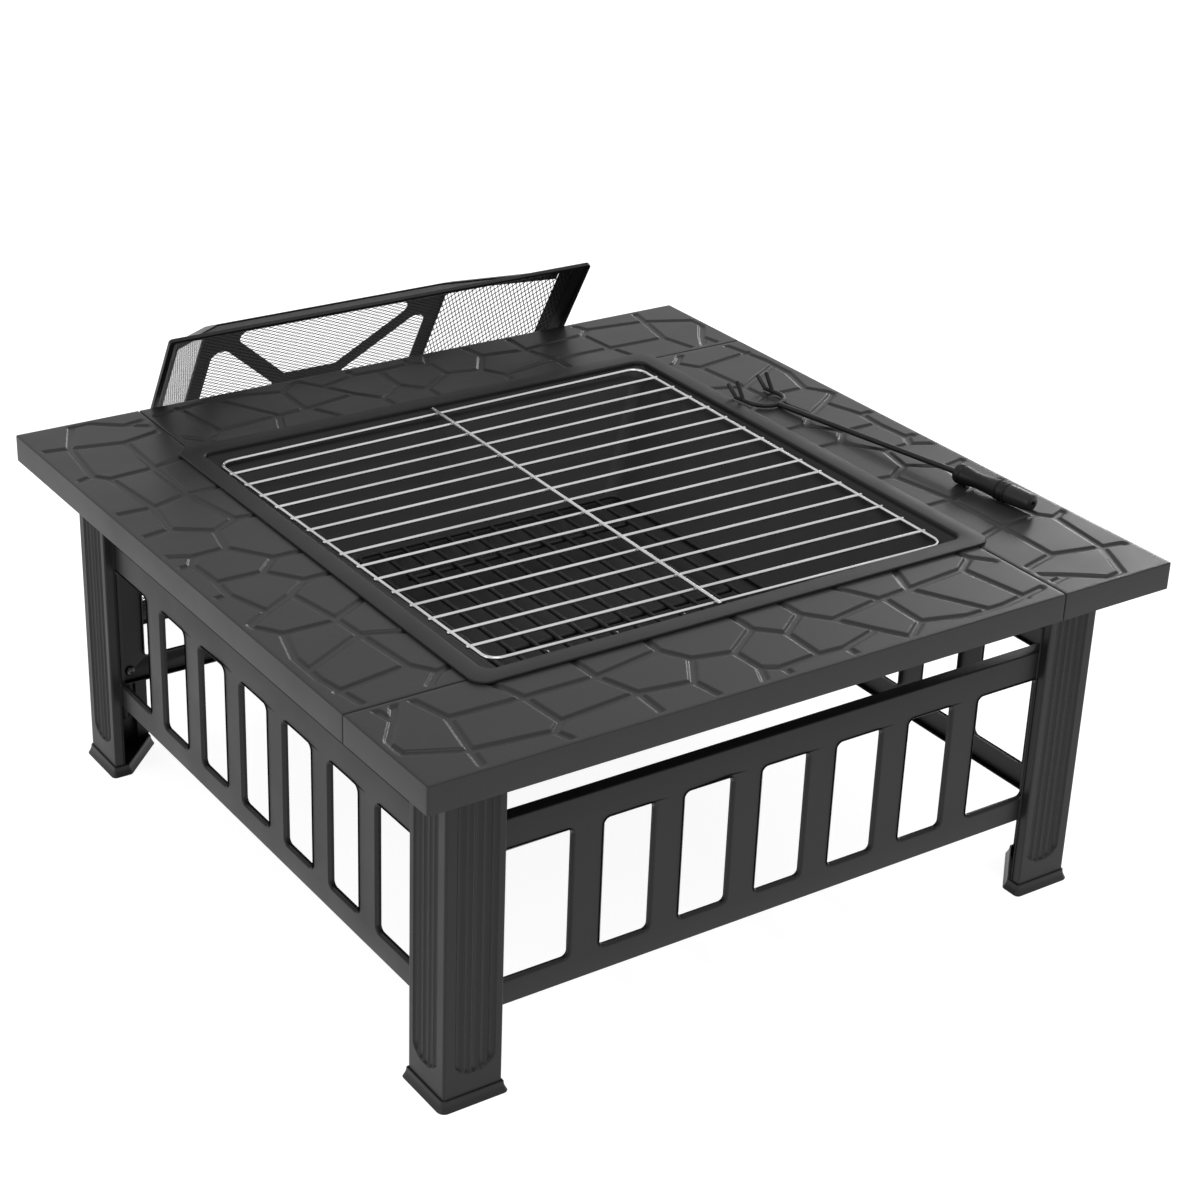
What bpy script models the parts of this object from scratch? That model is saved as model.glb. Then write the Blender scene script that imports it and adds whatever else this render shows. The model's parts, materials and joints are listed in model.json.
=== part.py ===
"""Square steel fire pit table with a fire bowl, two grates, a lift-off spark screen and a poker.

Units are metres and +Z is up. The table stands centred on the origin with its feet on z = 0.
Its four sides repeat by quarter turns: front (-Y), right (+X), back (+Y) and left (-X).
Every side is shaped as the front one, and every corner as the front left one, then turned.
"""

import math

import bmesh
import bpy
from mathutils import Matrix, Vector, geometry

# Tabletop: four trays laid like a pinwheel round the opening
TABLE_SIDE = 0.810
TABLE_HEIGHT = 0.358
PANEL_WIDTH = 0.135
TOP_SHEET = 0.0015
SKIRT_DEPTH = 0.027
SKIRT_CORNER_RADIUS = 0.004
PLAIN_CORNER_RADIUS = 0.0008
EDGE_FOLD = 0.0015
EDGE_FOLD_INSET = 0.35 * EDGE_FOLD
EDGE_FOLD_DROP = 0.6 * EDGE_FOLD
SEAM_FLANGE_DEPTH = 0.020
SEAM_GAP = 0.0010
SEAM_BOLT_DEPTH = 0.011
SEAM_HOLE_LENGTH = 0.010

# Legs: folded sheet, L-shaped in plan, each bolted up to a boss under the tabletop
LEG_INSET = 0.044
LEG_FACE = 0.059
LEG_RETURN = 0.0102
LEG_LIP = 0.026
LEG_SHEET = 0.0012
LEG_CORNER_RADIUS = 0.004
LEG_PLATE_NARROW = 0.016
LEG_PLATE_DROP = 0.0003
BOSS_HEIGHT = 0.008
BOSS_DIAMETER = 0.014
BOSS_FROM_CORNER = 0.024

# Feet: plastic shoes that the legs stand in
FOOT_HEIGHT = 0.011
FOOT_BEND_HEIGHT = 0.7 * FOOT_HEIGHT
FOOT_BASE = 0.003
FOOT_WALL = 0.0015
FOOT_FLARE = 0.0032
FOOT_BEND_OUT = 0.35 * FOOT_FLARE
FOOT_NARROW = 0.014
FOOT_SHARP_RADIUS = 0.0002
FOOT_EDGE = 0.0008

# Slatted panels between the legs
SLATTED_BOTTOM = 0.0805
SLATTED_TOP = 0.2665
SLATTED_SHEET = 0.0012
RAIL_BOTTOM = 0.0245
RAIL_TOP = 0.029
SLAT_WIDTH = 0.030
SLAT_END_WINDOW = 0.0745
SLAT_COUNT = 6
WINDOW_RADIUS = 0.006
WINDOW_BEHIND_LEG = 0.002
SLATTED_TOP_FLANGE = 0.014
SLATTED_BOTTOM_FLANGE = 0.008
SLATTED_LAP = 0.028
SLATTED_BOLT_LAP = 0.017
SLATTED_BOLT_EDGE = 0.012

# Bolts, all alike
BOLT_DIAMETER = 0.006
BOLT_HEAD_DIAMETER = 0.0115
BOLT_HEAD_HEIGHT = 0.0035
BOLT_DOME = ((0.94, 0.45), (0.66, 0.85), (0.25, 1.0))  # shares of its radius and height
BOLT_TIP = 0.003
HOLE_MARGIN = 0.0003

# Fire bowl, which hangs in the opening by its rim
BOWL_SHEET = 0.0012
BOWL_RIM_LAP = 0.017
BOWL_RIM_EDGE = 0.0012
BOWL_OPENING_GAP = 0.0035
BOWL_RIM_RADIUS = 0.016
BOWL_WALL_RADIUS = 0.012
BOWL_DROP = 0.003
BOWL_SLOPE_HALF = 0.157
BOWL_SLOPE_DEPTH = 0.0945
BOWL_FLOOR_HALF = 0.130
BOWL_DEPTH = 0.1125
DRAIN_DIAMETER = 0.0075
DRAIN_PITCH = 0.080

# Chrome cooking grill
GRILL_WIRE = 0.005
GRILL_MARGIN = 0.012
GRILL_CORNER_RADIUS = 0.013
GRILL_BAR_COUNT = 15
GRILL_BAR_REACH = 0.005
GRILL_TIE_REACH = 0.008
GRILL_TIE_LAP = 0.0042

# Charcoal grate
GRATE_WIRE = 0.0045
GRATE_BAR_COUNT = 13
GRATE_END_GAP = 0.007
GRATE_CORNER_RADIUS = 0.008
GRATE_TIE_OFFSET = 0.090
GRATE_TIE_LAP = 0.0038

# Spark screen, leaning with its open side against the back edge of the tabletop
SCREEN_SIDE = 0.512
SCREEN_HEIGHT = 0.089
SCREEN_TOP_SIDE = 0.306
SCREEN_SHEET = 0.0012
SCREEN_MESH = 0.0012
SCREEN_FLANGE = 0.008
SCREEN_HEM = 0.005
SCREEN_SKIRT = 0.020
SCREEN_CORNER_RADIUS = 0.004
SCREEN_POST_FLANGE = 0.012
SCREEN_MESH_LAP = 0.010
SCREEN_TOP_BORDER = 0.018
SCREEN_ARM = 0.018
SCREEN_HUB = 0.090
SCREEN_WINDOW_RADIUS = 0.012
SCREEN_HUB_RADIUS = SCREEN_WINDOW_RADIUS / 3
SCREEN_LEAN = 29.5
SCREEN_X = 0.002

# Knob of the spark screen
KNOB_DIAMETER = 0.038
KNOB_HEIGHT = 0.028
KNOB_NECK = 0.017
KNOB_NECK_HEIGHT = 0.010
KNOB_NECK_FOOT = 1.25  # share of the neck's radius at its foot
KNOB_NECK_STRAIGHT = (0.4, 0.8)  # shares of the neck's height between which it is straight
KNOB_UNDERSIDE = 0.94  # share of the knob's radius where its underside ends
KNOB_EDGE = 0.3  # share of the knob's height at its widest
KNOB_DOME_STEPS = (0.0, 0.3, 0.6, 0.85)  # shares of a quarter turn
KNOB_BORE_DEPTH = 0.012
SCREW_HEAD_TOP = 0.6  # share of the head's radius
SCREW_HEAD_EDGE = 0.5  # share of the head's height
KNOB_SCREW = 0.005

# Poker, lying on the right tabletop panel
POKER_FROM_RIM = 0.0663
POKER_Y = -0.1602
POKER_TURN = 7.8
POKER_ROD = 0.006
POKER_ROD_LENGTH = 0.250
POKER_ROD_TAIL = 0.090
POKER_LEVEL_LENGTH = 0.010
CLAW_WIRE = 0.0042
PRONG_WIRE = 0.9 * CLAW_WIRE
CLAW_WIDTH = 0.044
CLAW_SHOULDER = 0.022
CLAW_REACH = 0.042
CLAW_PRONGS = ((0.030, 0.011, 0.018), (0.041, 0.0125, 0.011))
GRIP_LENGTH = 0.0655
GRIP_DIAMETER = 0.0205
GRIP_WAIST = 0.0165
GRIP_RING_WIDTH = 0.003
GRIP_STEPS = 6
GRIP_FRONT = (0.8, 0.97)  # shares of its radius at the front face and behind its chamfer
GRIP_CHAMFER = 0.0015
GRIP_GROOVE = 0.93  # share of its radius between the rings
GRIP_RING = 0.98  # share of its radius at the rings
GRIP_REAR = 0.95  # share of its radius at the rear face
CAP_LENGTH = 0.030
CAP_TAPER = ((0.95, 0), (0.92, 0.25), (0.8, 0.7))  # shares of the grip's radius, of its length
CAP_CHAMFER = 0.0015
CAP_END_FACE = 0.8  # share of its end's radius
CAP_END_DIAMETER = 0.013
CAP_HOLE = 0.005

CLEARANCE = 0.0003
JOIN = 0.0005
SIDES = ("front", "right", "back", "left")
CORNERS = ("front_left", "front_right", "back_right", "back_left")
ROUND_SIDES = 12
BOLT_SIDES = 8
WIRE_SIDES = 6
CORNER_STEPS = 3
SMOOTH_ANGLE = math.radians(35)

# Sizes that follow from the ones above
HALF = TABLE_SIDE / 2
OPENING_HALF = HALF - PANEL_WIDTH
PANEL_MIDDLE = HALF - PANEL_WIDTH / 2
TOP_UNDERSIDE = TABLE_HEIGHT - TOP_SHEET
LEG_OUT = HALF - LEG_INSET
LEG_IN = LEG_OUT - LEG_FACE
LIP_PLANE = LEG_OUT - LEG_RETURN
LEG_TOP = TOP_UNDERSIDE - BOSS_HEIGHT - CLEARANCE
BOSS_OUT = LEG_OUT - BOSS_FROM_CORNER
SLATTED_PLANE = LIP_PLANE - CLEARANCE
SLAT_PITCH = (2 * (LEG_IN - SLAT_END_WINDOW) - SLAT_WIDTH) / (SLAT_COUNT - 1)
HOLE_DIAMETER = BOLT_DIAMETER + 2 * HOLE_MARGIN
RIM_TOP = TABLE_HEIGHT + CLEARANCE + BOWL_RIM_EDGE + BOWL_SHEET
RIM_HALF = OPENING_HALF + BOWL_RIM_LAP
BOWL_INNER_HALF = OPENING_HALF - BOWL_OPENING_GAP
BOWL_FLOOR = TABLE_HEIGHT - BOWL_DEPTH
GRILL_HALF = BOWL_INNER_HALF - GRILL_MARGIN
GRILL_BAR_PITCH = 2 * GRILL_HALF / (GRILL_BAR_COUNT + 1)
GRATE_BAR_PITCH = 2 * BOWL_SLOPE_HALF / (GRATE_BAR_COUNT - 1)
SCREEN_FACE_HALF = SCREEN_SIDE / 2 - SCREEN_FLANGE
SCREEN_FACE_INSET = SCREEN_FACE_HALF - SCREEN_TOP_SIDE / 2
SCREEN_SLOPE = math.atan2(SCREEN_HEIGHT, SCREEN_FACE_INSET)
SCREEN_UNDER_TOP = SCREEN_HEIGHT - SCREEN_SHEET - CLEARANCE


def clear_scene():
    for obj in list(bpy.data.objects):
        bpy.data.objects.remove(obj, do_unlink=True)


def material(name, colour, roughness, metallic):
    made = bpy.data.materials.new(name)
    made.use_nodes = True
    shader = made.node_tree.nodes["Principled BSDF"]
    shader.inputs["Base Color"].default_value = (*colour, 1.0)
    shader.inputs["Roughness"].default_value = roughness
    shader.inputs["Metallic"].default_value = metallic
    return made


def solid(name, points, faces):
    """An object from points and faces that close, with the faces turned to point out."""
    mesh = bpy.data.meshes.new(name)
    mesh.from_pydata([tuple(point) for point in points], [], faces)
    shaped = bmesh.new()
    shaped.from_mesh(mesh)
    bmesh.ops.recalc_face_normals(shaped, faces=shaped.faces)
    shaped.to_mesh(mesh)
    shaped.free()
    obj = bpy.data.objects.new(name, mesh)
    bpy.context.collection.objects.link(obj)
    return obj


def loft(name, rings, closed=False):
    """Skin between rings of equally many points. It is capped at its ends, or closed into a loop."""
    size = len(rings[0])
    points = [point for ring in rings for point in ring]
    faces = []
    for i in range(len(rings) if closed else len(rings) - 1):
        near = i * size
        far = (i + 1) % len(rings) * size
        for j in range(size):
            k = (j + 1) % size
            faces.append((near + j, near + k, far + k, far + j))
    if not closed:
        faces.append(tuple(range(size)))
        faces.append(tuple(range(len(points) - size, len(points))))
    return solid(name, points, faces)


def prism(name, outline, low, high, holes=()):
    """A flat outline, with any holes, extruded from one height to another."""
    loops = [[Vector((x, y, 0)) for x, y in loop] for loop in (outline, *holes)]
    flat = [point for loop in loops for point in loop]
    count = len(flat)
    points = [(p.x, p.y, z) for z in (low, high) for p in flat]
    faces = []
    for a, b, c in geometry.tessellate_polygon(loops):
        faces.append((a, b, c))
        faces.append((a + count, b + count, c + count))
    start = 0
    for loop in loops:
        for i in range(len(loop)):
            a = start + i
            b = start + (i + 1) % len(loop)
            faces.append((a, b, b + count, a + count))
        start += len(loop)
    return solid(name, points, faces)


def box(name, low, high):
    outline = [(low[0], low[1]), (high[0], low[1]), (high[0], high[1]), (low[0], high[1])]
    return prism(name, outline, low[2], high[2])


def turned(name, profile, sides=ROUND_SIDES, closed=False):
    """A round piece about the Z axis from a profile of (radius, height) points."""
    rings = []
    for radius, height in profile:
        angles = [2 * math.pi * i / sides for i in range(sides)]
        rings.append([(radius * math.cos(a), radius * math.sin(a), height) for a in angles])
    return loft(name, rings, closed)


def sweep(name, path, diameter, sides=WIRE_SIDES, closed=False):
    """A round wire along a path of points."""
    path = [Vector(point) for point in path]
    rings = []
    across = None
    for i, here in enumerate(path):
        before = path[i - 1] if closed or i > 0 else here
        after = path[(i + 1) % len(path)] if closed or i < len(path) - 1 else here
        along = (after - before).normalized()
        if across is None:
            across = along.orthogonal()
        across = (across - along * across.dot(along)).normalized()
        upright = along.cross(across)
        ring = []
        for j in range(sides):
            angle = 2 * math.pi * (j + 0.5) / sides
            way = math.cos(angle) * across + math.sin(angle) * upright
            ring.append(here + way * diameter / 2)
        rings.append(ring)
    return loft(name, rings, closed)


def combine(base, others, operation):
    """Join the other objects to the base (UNION) or cut them from it (DIFFERENCE), and drop them."""
    group = bpy.data.collections.new(base.name + "_tools")
    for other in others:
        group.objects.link(other)
    change = base.modifiers.new("combine", "BOOLEAN")
    change.operation = operation
    change.solver = "EXACT"
    change.operand_type = "COLLECTION"
    change.collection = group
    graph = bpy.context.evaluated_depsgraph_get()
    shaped = bpy.data.meshes.new_from_object(base.evaluated_get(graph))
    base.modifiers.clear()
    base.data = shaped
    for other in others:
        bpy.data.objects.remove(other, do_unlink=True)
    bpy.data.collections.remove(group)
    return base


def finished(obj, look, turn=0, parent=None):
    """Give a piece its material and smooth shading, and turn it by quarter turns about +Z."""
    obj.data.transform(Matrix.Rotation(turn * math.pi / 2, 4, "Z"))
    obj.data.materials.clear()
    obj.data.materials.append(look)
    obj.data.shade_smooth()
    obj.data.set_sharp_from_angle(angle=SMOOTH_ANGLE)
    obj.parent = parent
    return obj


def rounded(corners, radii, steps=CORNER_STEPS):
    """The outline through the corners, each corner replaced by an arc of its radius."""
    points = []
    for i, corner in enumerate(corners):
        here = Vector(corner)
        before = (Vector(corners[i - 1]) - here).normalized()
        after = (Vector(corners[(i + 1) % len(corners)]) - here).normalized()
        half_angle = before.angle(after) / 2
        reach = radii[i] / math.tan(half_angle)
        centre = here + (before + after).normalized() * radii[i] / math.sin(half_angle)
        first = here + before * reach - centre
        last = here + after * reach - centre
        swing = first.angle_signed(last)
        for step in range(steps + 1):
            spoke = Matrix.Rotation(-swing * step / steps, 2) @ first
            points.append(tuple(centre + spoke))
    return points


def rectangle(low, high, radii, inset=0.0):
    """A rectangle's outline, with a radius for each corner, drawn in by the inset."""
    corners = [
        (low[0] + inset, low[1] + inset),
        (high[0] - inset, low[1] + inset),
        (high[0] - inset, high[1] - inset),
        (low[0] + inset, high[1] - inset),
    ]
    return rounded(corners, [max(radius - inset, PLAIN_CORNER_RADIUS / 2) for radius in radii])


def square_ring(half, radius, height):
    outline = rectangle((-half, -half), (half, half), [radius] * 4)
    return [(x, y, height) for x, y in outline]


def sheet_section(path, sheet):
    """The section of a folded sheet whose skin follows the path, with the sheet to its right."""
    path = [Vector(point) for point in path]
    far_side = []
    for i, here in enumerate(path):
        ways = []
        if i > 0:
            ways.append((here - path[i - 1]).normalized())
        if i < len(path) - 1:
            ways.append((path[i + 1] - here).normalized())
        rights = [Vector((way.y, -way.x)) for way in ways]
        middle = sum(rights, Vector((0, 0))).normalized()
        far_side.append(here + middle * sheet / middle.dot(rights[0]))
    return [tuple(point) for point in path + far_side[::-1]]


def bolt(name, grip_length, at, direction):
    """A domed bolt: the underside of its head at the point given, its shank along the direction."""
    head = BOLT_HEAD_DIAMETER / 2
    shank = BOLT_DIAMETER / 2
    profile = [
        (shank, grip_length + BOLT_TIP),
        (shank, 0),
        (head, 0),
    ]
    profile += [(head * width, -BOLT_HEAD_HEIGHT * height) for width, height in BOLT_DOME]
    obj = turned(name, profile, BOLT_SIDES)
    turn = Vector(direction).to_track_quat("Z", "Y").to_matrix().to_4x4()
    obj.data.transform(Matrix.Translation(at) @ turn)
    return obj


def bolt_hole(at, direction, length):
    """A cutter for a bolt's hole, its middle at the point given."""
    middle = Vector(at)
    reach = Vector(direction).normalized() * length / 2
    return sweep("hole", [middle - reach, middle + reach], HOLE_DIAMETER, BOLT_SIDES)


# Tabletop


def tabletop_panel(side, turn, look):
    """A tray with skirts on its two outer edges and shallower flanges on the other two."""
    low = (-HALF, -HALF)
    high = (OPENING_HALF - SEAM_GAP / 2, -OPENING_HALF - SEAM_GAP / 2)
    radii = [SKIRT_CORNER_RADIUS] + [PLAIN_CORNER_RADIUS] * 3
    skirt_bottom = TABLE_HEIGHT - SKIRT_DEPTH
    flange_bottom = TABLE_HEIGHT - SEAM_FLANGE_DEPTH
    levels = [
        (EDGE_FOLD_INSET, TABLE_HEIGHT),
        (0, TABLE_HEIGHT - EDGE_FOLD_DROP),
        (0, skirt_bottom),
        (TOP_SHEET, skirt_bottom),
        (TOP_SHEET, TOP_UNDERSIDE),
    ]
    rings = []
    for inset, height in levels:
        outline = rectangle(low, high, radii, inset)
        rings.append([(x, y, height) for x, y in outline])
    tray = loft("tabletop_panel_" + side, rings)

    boss_top = TOP_UNDERSIDE + TOP_SHEET / 2
    boss_bottom = TOP_UNDERSIDE - BOSS_HEIGHT
    boss_profile = [(BOSS_DIAMETER / 2, boss_bottom), (BOSS_DIAMETER / 2, boss_top)]
    boss = turned("boss", boss_profile)
    boss.data.transform(Matrix.Translation((-BOSS_OUT, -BOSS_OUT, 0)))
    combine(tray, [boss], "UNION")

    skirt_sheet = 2 * TOP_SHEET
    below = skirt_bottom - JOIN
    cuts = [
        box(
            "inner_side",
            (low[0] + skirt_sheet, high[1] - skirt_sheet, below),
            (high[0] + JOIN, high[1] + JOIN, flange_bottom),
        ),
        box(
            "seam_end",
            (high[0] - skirt_sheet, low[1] + skirt_sheet, below),
            (high[0] + JOIN, high[1] + JOIN, flange_bottom),
        ),
        bolt_hole((high[0], -PANEL_MIDDLE, TABLE_HEIGHT - SEAM_BOLT_DEPTH), (1, 0, 0), SEAM_HOLE_LENGTH),
        bolt_hole((-PANEL_MIDDLE, high[1], TABLE_HEIGHT - SEAM_BOLT_DEPTH), (0, 1, 0), SEAM_HOLE_LENGTH),
        bolt_hole((-BOSS_OUT, -BOSS_OUT, TOP_UNDERSIDE - BOSS_HEIGHT), (0, 0, 1), 2 * BOSS_HEIGHT - JOIN),
    ]
    for cut in cuts:
        combine(tray, [cut], "DIFFERENCE")
    return finished(tray, look, turn)


def seam_bolt(side, turn, look):
    """Clamps the end flange of one panel to the inner flange of the next."""
    stack = SEAM_GAP + 2 * (TOP_SHEET + CLEARANCE)
    head_plane = OPENING_HALF - stack / 2
    at = (head_plane, -PANEL_MIDDLE, TABLE_HEIGHT - SEAM_BOLT_DEPTH)
    return finished(bolt("seam_bolt_" + side, stack, at, (1, 0, 0)), look, turn)


# Legs and feet


def leg(corner, turn, look):
    """A folded sheet leg: two faces, a return and a hidden lip at each, and a plate on top."""
    path = [
        (-LEG_IN - LEG_LIP, -LIP_PLANE),
        (-LEG_IN, -LIP_PLANE),
        (-LEG_IN, -LEG_OUT),
    ]
    for step in range(CORNER_STEPS + 1):
        angle = math.pi / 2 * step / CORNER_STEPS
        centre = -LEG_OUT + LEG_CORNER_RADIUS
        x = centre - LEG_CORNER_RADIUS * math.sin(angle)
        y = centre - LEG_CORNER_RADIUS * math.cos(angle)
        path.append((x, y))
    path += [
        (-LEG_OUT, -LEG_IN),
        (-LIP_PLANE, -LEG_IN),
        (-LIP_PLANE, -LEG_IN - LEG_LIP),
    ]
    bottom = FOOT_BASE + CLEARANCE
    shell = prism("leg_" + corner, sheet_section(path, LEG_SHEET), bottom, LEG_TOP)

    out = LEG_OUT - LEG_SHEET / 2
    end = LEG_IN + LEG_SHEET / 2
    narrow = LEG_OUT - LEG_PLATE_NARROW
    plate_outline = [(-out, -out), (-end, -out), (-end, -narrow), (-narrow, -end), (-out, -end)]
    plate_top = LEG_TOP - LEG_PLATE_DROP
    plate = prism("plate", plate_outline, plate_top - LEG_SHEET, plate_top)
    combine(shell, [plate], "UNION")

    cuts = [bolt_hole((-BOSS_OUT, -BOSS_OUT, plate_top), (0, 0, 1), 4 * LEG_SHEET)]
    along = LEG_IN + SLATTED_BOLT_LAP
    for height in slatted_bolt_heights():
        cuts.append(bolt_hole((-along, -LIP_PLANE, height), (0, 1, 0), 4 * LEG_SHEET))
        cuts.append(bolt_hole((-LIP_PLANE, -along, height), (1, 0, 0), 4 * LEG_SHEET))
    combine(shell, cuts, "DIFFERENCE")
    return finished(shell, look, turn)


def leg_bolt(corner, turn, look):
    """Goes up through the leg's top plate into the boss under the tabletop."""
    head_plane = LEG_TOP - LEG_PLATE_DROP - LEG_SHEET - CLEARANCE
    reach = TOP_UNDERSIDE - JOIN - CLEARANCE - head_plane - BOLT_TIP
    at = (-BOSS_OUT, -BOSS_OUT, head_plane)
    return finished(bolt("leg_bolt_" + corner, reach, at, (0, 0, 1)), look, turn)


def foot_ring(margin, height):
    """The leg's plan, closed by a cut across its inner corner, with a margin round it."""
    out = LEG_OUT + margin
    end = LEG_IN - margin
    narrow = LEG_OUT - FOOT_NARROW - margin * (math.sqrt(2) - 1)
    corners = [(-out, -out), (-end, -out), (-end, -narrow), (-narrow, -end), (-out, -end)]
    radii = [LEG_CORNER_RADIUS + margin] + [FOOT_SHARP_RADIUS + margin] * 4
    return [(x, y, height) for x, y in rounded(corners, radii, 3)]


def foot(corner, turn, look):
    """A shoe with a flared wall round the end of the leg."""
    inside = CLEARANCE
    outside = CLEARANCE + FOOT_WALL
    rings = [
        foot_ring(outside + FOOT_FLARE - FOOT_EDGE, 0),
        foot_ring(outside + FOOT_FLARE, FOOT_EDGE),
        foot_ring(outside + FOOT_BEND_OUT, FOOT_BEND_HEIGHT),
        foot_ring(outside, FOOT_HEIGHT),
        foot_ring(inside, FOOT_HEIGHT),
        foot_ring(inside, FOOT_BASE),
    ]
    return finished(loft("foot_" + corner, rings), look, turn)


# Slatted panels


def slatted_bolt_heights():
    return (SLATTED_BOTTOM + SLATTED_BOLT_EDGE, SLATTED_TOP - SLATTED_BOLT_EDGE)


def slatted_windows():
    """The openings between the slats, from one leg to the other."""
    slats = [(i - (SLAT_COUNT - 1) / 2) * SLAT_PITCH for i in range(SLAT_COUNT)]
    last = LEG_IN + WINDOW_BEHIND_LEG
    starts = [-last] + [x + SLAT_WIDTH / 2 for x in slats]
    ends = [x - SLAT_WIDTH / 2 for x in slats] + [last]
    low = SLATTED_BOTTOM + RAIL_BOTTOM
    high = SLATTED_TOP - RAIL_TOP
    return [rectangle((a, low), (b, high), [WINDOW_RADIUS] * 4) for a, b in zip(starts, ends)]


def slatted_panel(side, turn, look):
    """A pierced sheet with its top and bottom edges turned in, lapping behind the legs' lips."""
    end = LEG_IN + SLATTED_LAP
    outline = [(-end, SLATTED_BOTTOM), (end, SLATTED_BOTTOM), (end, SLATTED_TOP), (-end, SLATTED_TOP)]
    inner_plane = SLATTED_PLANE - SLATTED_SHEET
    sheet = prism("slatted_panel_" + side, outline, inner_plane, SLATTED_PLANE, slatted_windows())
    sheet.data.transform(Matrix.Rotation(math.pi / 2, 4, "X"))
    flanges = [
        box(
            "top_flange",
            (-end, -inner_plane - SLATTED_SHEET / 2, SLATTED_TOP - SLATTED_SHEET),
            (end, -SLATTED_PLANE + SLATTED_TOP_FLANGE, SLATTED_TOP),
        ),
        box(
            "bottom_flange",
            (-end, -inner_plane - SLATTED_SHEET / 2, SLATTED_BOTTOM),
            (end, -SLATTED_PLANE + SLATTED_BOTTOM_FLANGE, SLATTED_BOTTOM + SLATTED_SHEET),
        ),
    ]
    combine(sheet, flanges, "UNION")
    along = LEG_IN + SLATTED_BOLT_LAP
    places = [(x, height) for x in (-along, along) for height in slatted_bolt_heights()]
    holes = [bolt_hole((x, -SLATTED_PLANE, z), (0, 1, 0), 4 * SLATTED_SHEET) for x, z in places]
    combine(sheet, holes, "DIFFERENCE")
    return finished(sheet, look, turn)


def slatted_panel_bolts(side, turn, look):
    """Four bolts, their heads inside the table, through the panel and the legs' lips."""
    along = LEG_IN + SLATTED_BOLT_LAP
    head_plane = SLATTED_PLANE - SLATTED_SHEET - CLEARANCE
    stack = SLATTED_SHEET + LEG_SHEET + 2 * CLEARANCE
    levels = zip(("lower", "upper"), slatted_bolt_heights())
    for level, height in levels:
        for end, x in (("first", -along), ("second", along)):
            name = "_".join(("panel_bolt", side, end, level))
            finished(bolt(name, stack, (x, -head_plane, height), (0, -1, 0)), look, turn)


# Fire bowl, grill and charcoal grate


def bowl_wall_height(half):
    """Height of the sloping wall's inner skin where the bowl is this far from its middle."""
    top = TABLE_HEIGHT - BOWL_DROP
    bottom = TABLE_HEIGHT - BOWL_SLOPE_DEPTH
    share = (half - BOWL_SLOPE_HALF) / (BOWL_INNER_HALF - BOWL_SLOPE_HALF)
    return bottom + share * (top - bottom)


def bowl_wall_lift(wire):
    """How far above the sloping wall a wire's axis lies when the wire rests on it."""
    rise = bowl_wall_height(BOWL_INNER_HALF) - bowl_wall_height(BOWL_SLOPE_HALF)
    slope = math.atan2(rise, BOWL_INNER_HALF - BOWL_SLOPE_HALF)
    return (wire / 2 + CLEARANCE) / math.cos(slope)


def fire_bowl(look):
    """A square pan with sloping walls, hung by a flat rim with a turned-down edge."""
    skin = [
        (0, BOWL_FLOOR),
        (BOWL_FLOOR_HALF, BOWL_FLOOR),
        (BOWL_SLOPE_HALF, bowl_wall_height(BOWL_SLOPE_HALF)),
        (BOWL_INNER_HALF, bowl_wall_height(BOWL_INNER_HALF)),
        (BOWL_INNER_HALF, RIM_TOP),
        (RIM_HALF, RIM_TOP),
        (RIM_HALF, TABLE_HEIGHT + CLEARANCE),
    ]
    section = sheet_section(skin, BOWL_SHEET)[1:-1]
    rings = []
    for half, height in section:
        on_rim = half > (BOWL_INNER_HALF + RIM_HALF) / 2
        rings.append(square_ring(half, BOWL_RIM_RADIUS if on_rim else BOWL_WALL_RADIUS, height))
    bowl = loft("fire_bowl", rings)
    middle = BOWL_FLOOR - BOWL_SHEET / 2
    drains = []
    for x in (-DRAIN_PITCH, 0, DRAIN_PITCH):
        for y in (-DRAIN_PITCH, 0, DRAIN_PITCH):
            path = [(x, y, middle - 2 * BOWL_SHEET), (x, y, middle + 2 * BOWL_SHEET)]
            drains.append(sweep("drain", path, DRAIN_DIAMETER, BOLT_SIDES))
    combine(bowl, drains, "DIFFERENCE")
    return finished(bowl, look)


def wire_loop(name, half_x, half_y, radius, height, wire):
    outline = rectangle((-half_x, -half_y), (half_x, half_y), [radius] * 4)
    return sweep(name, [(x, y, height) for x, y in outline], wire, closed=True)


def bar_places(count, pitch):
    return [(i - (count - 1) / 2) * pitch for i in range(count)]


def cooking_grill(look):
    """A wire frame with bars across it and one tie on top, resting on the bowl's walls."""
    tip = GRILL_HALF + GRILL_BAR_REACH
    height = bowl_wall_height(tip) + GRILL_WIRE / 2 + CLEARANCE
    frame = wire_loop("cooking_grill", GRILL_HALF, GRILL_HALF, GRILL_CORNER_RADIUS, height, GRILL_WIRE)
    bars = []
    for y in bar_places(GRILL_BAR_COUNT, GRILL_BAR_PITCH):
        bars.append(sweep("bar", [(-tip, y, height), (tip, y, height)], GRILL_WIRE))
    end = GRILL_HALF + GRILL_TIE_REACH
    over = height + GRILL_TIE_LAP
    bars.append(sweep("tie", [(0, -end, over), (0, end, over)], GRILL_WIRE))
    return finished(combine(frame, bars, "UNION"), look)


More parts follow.
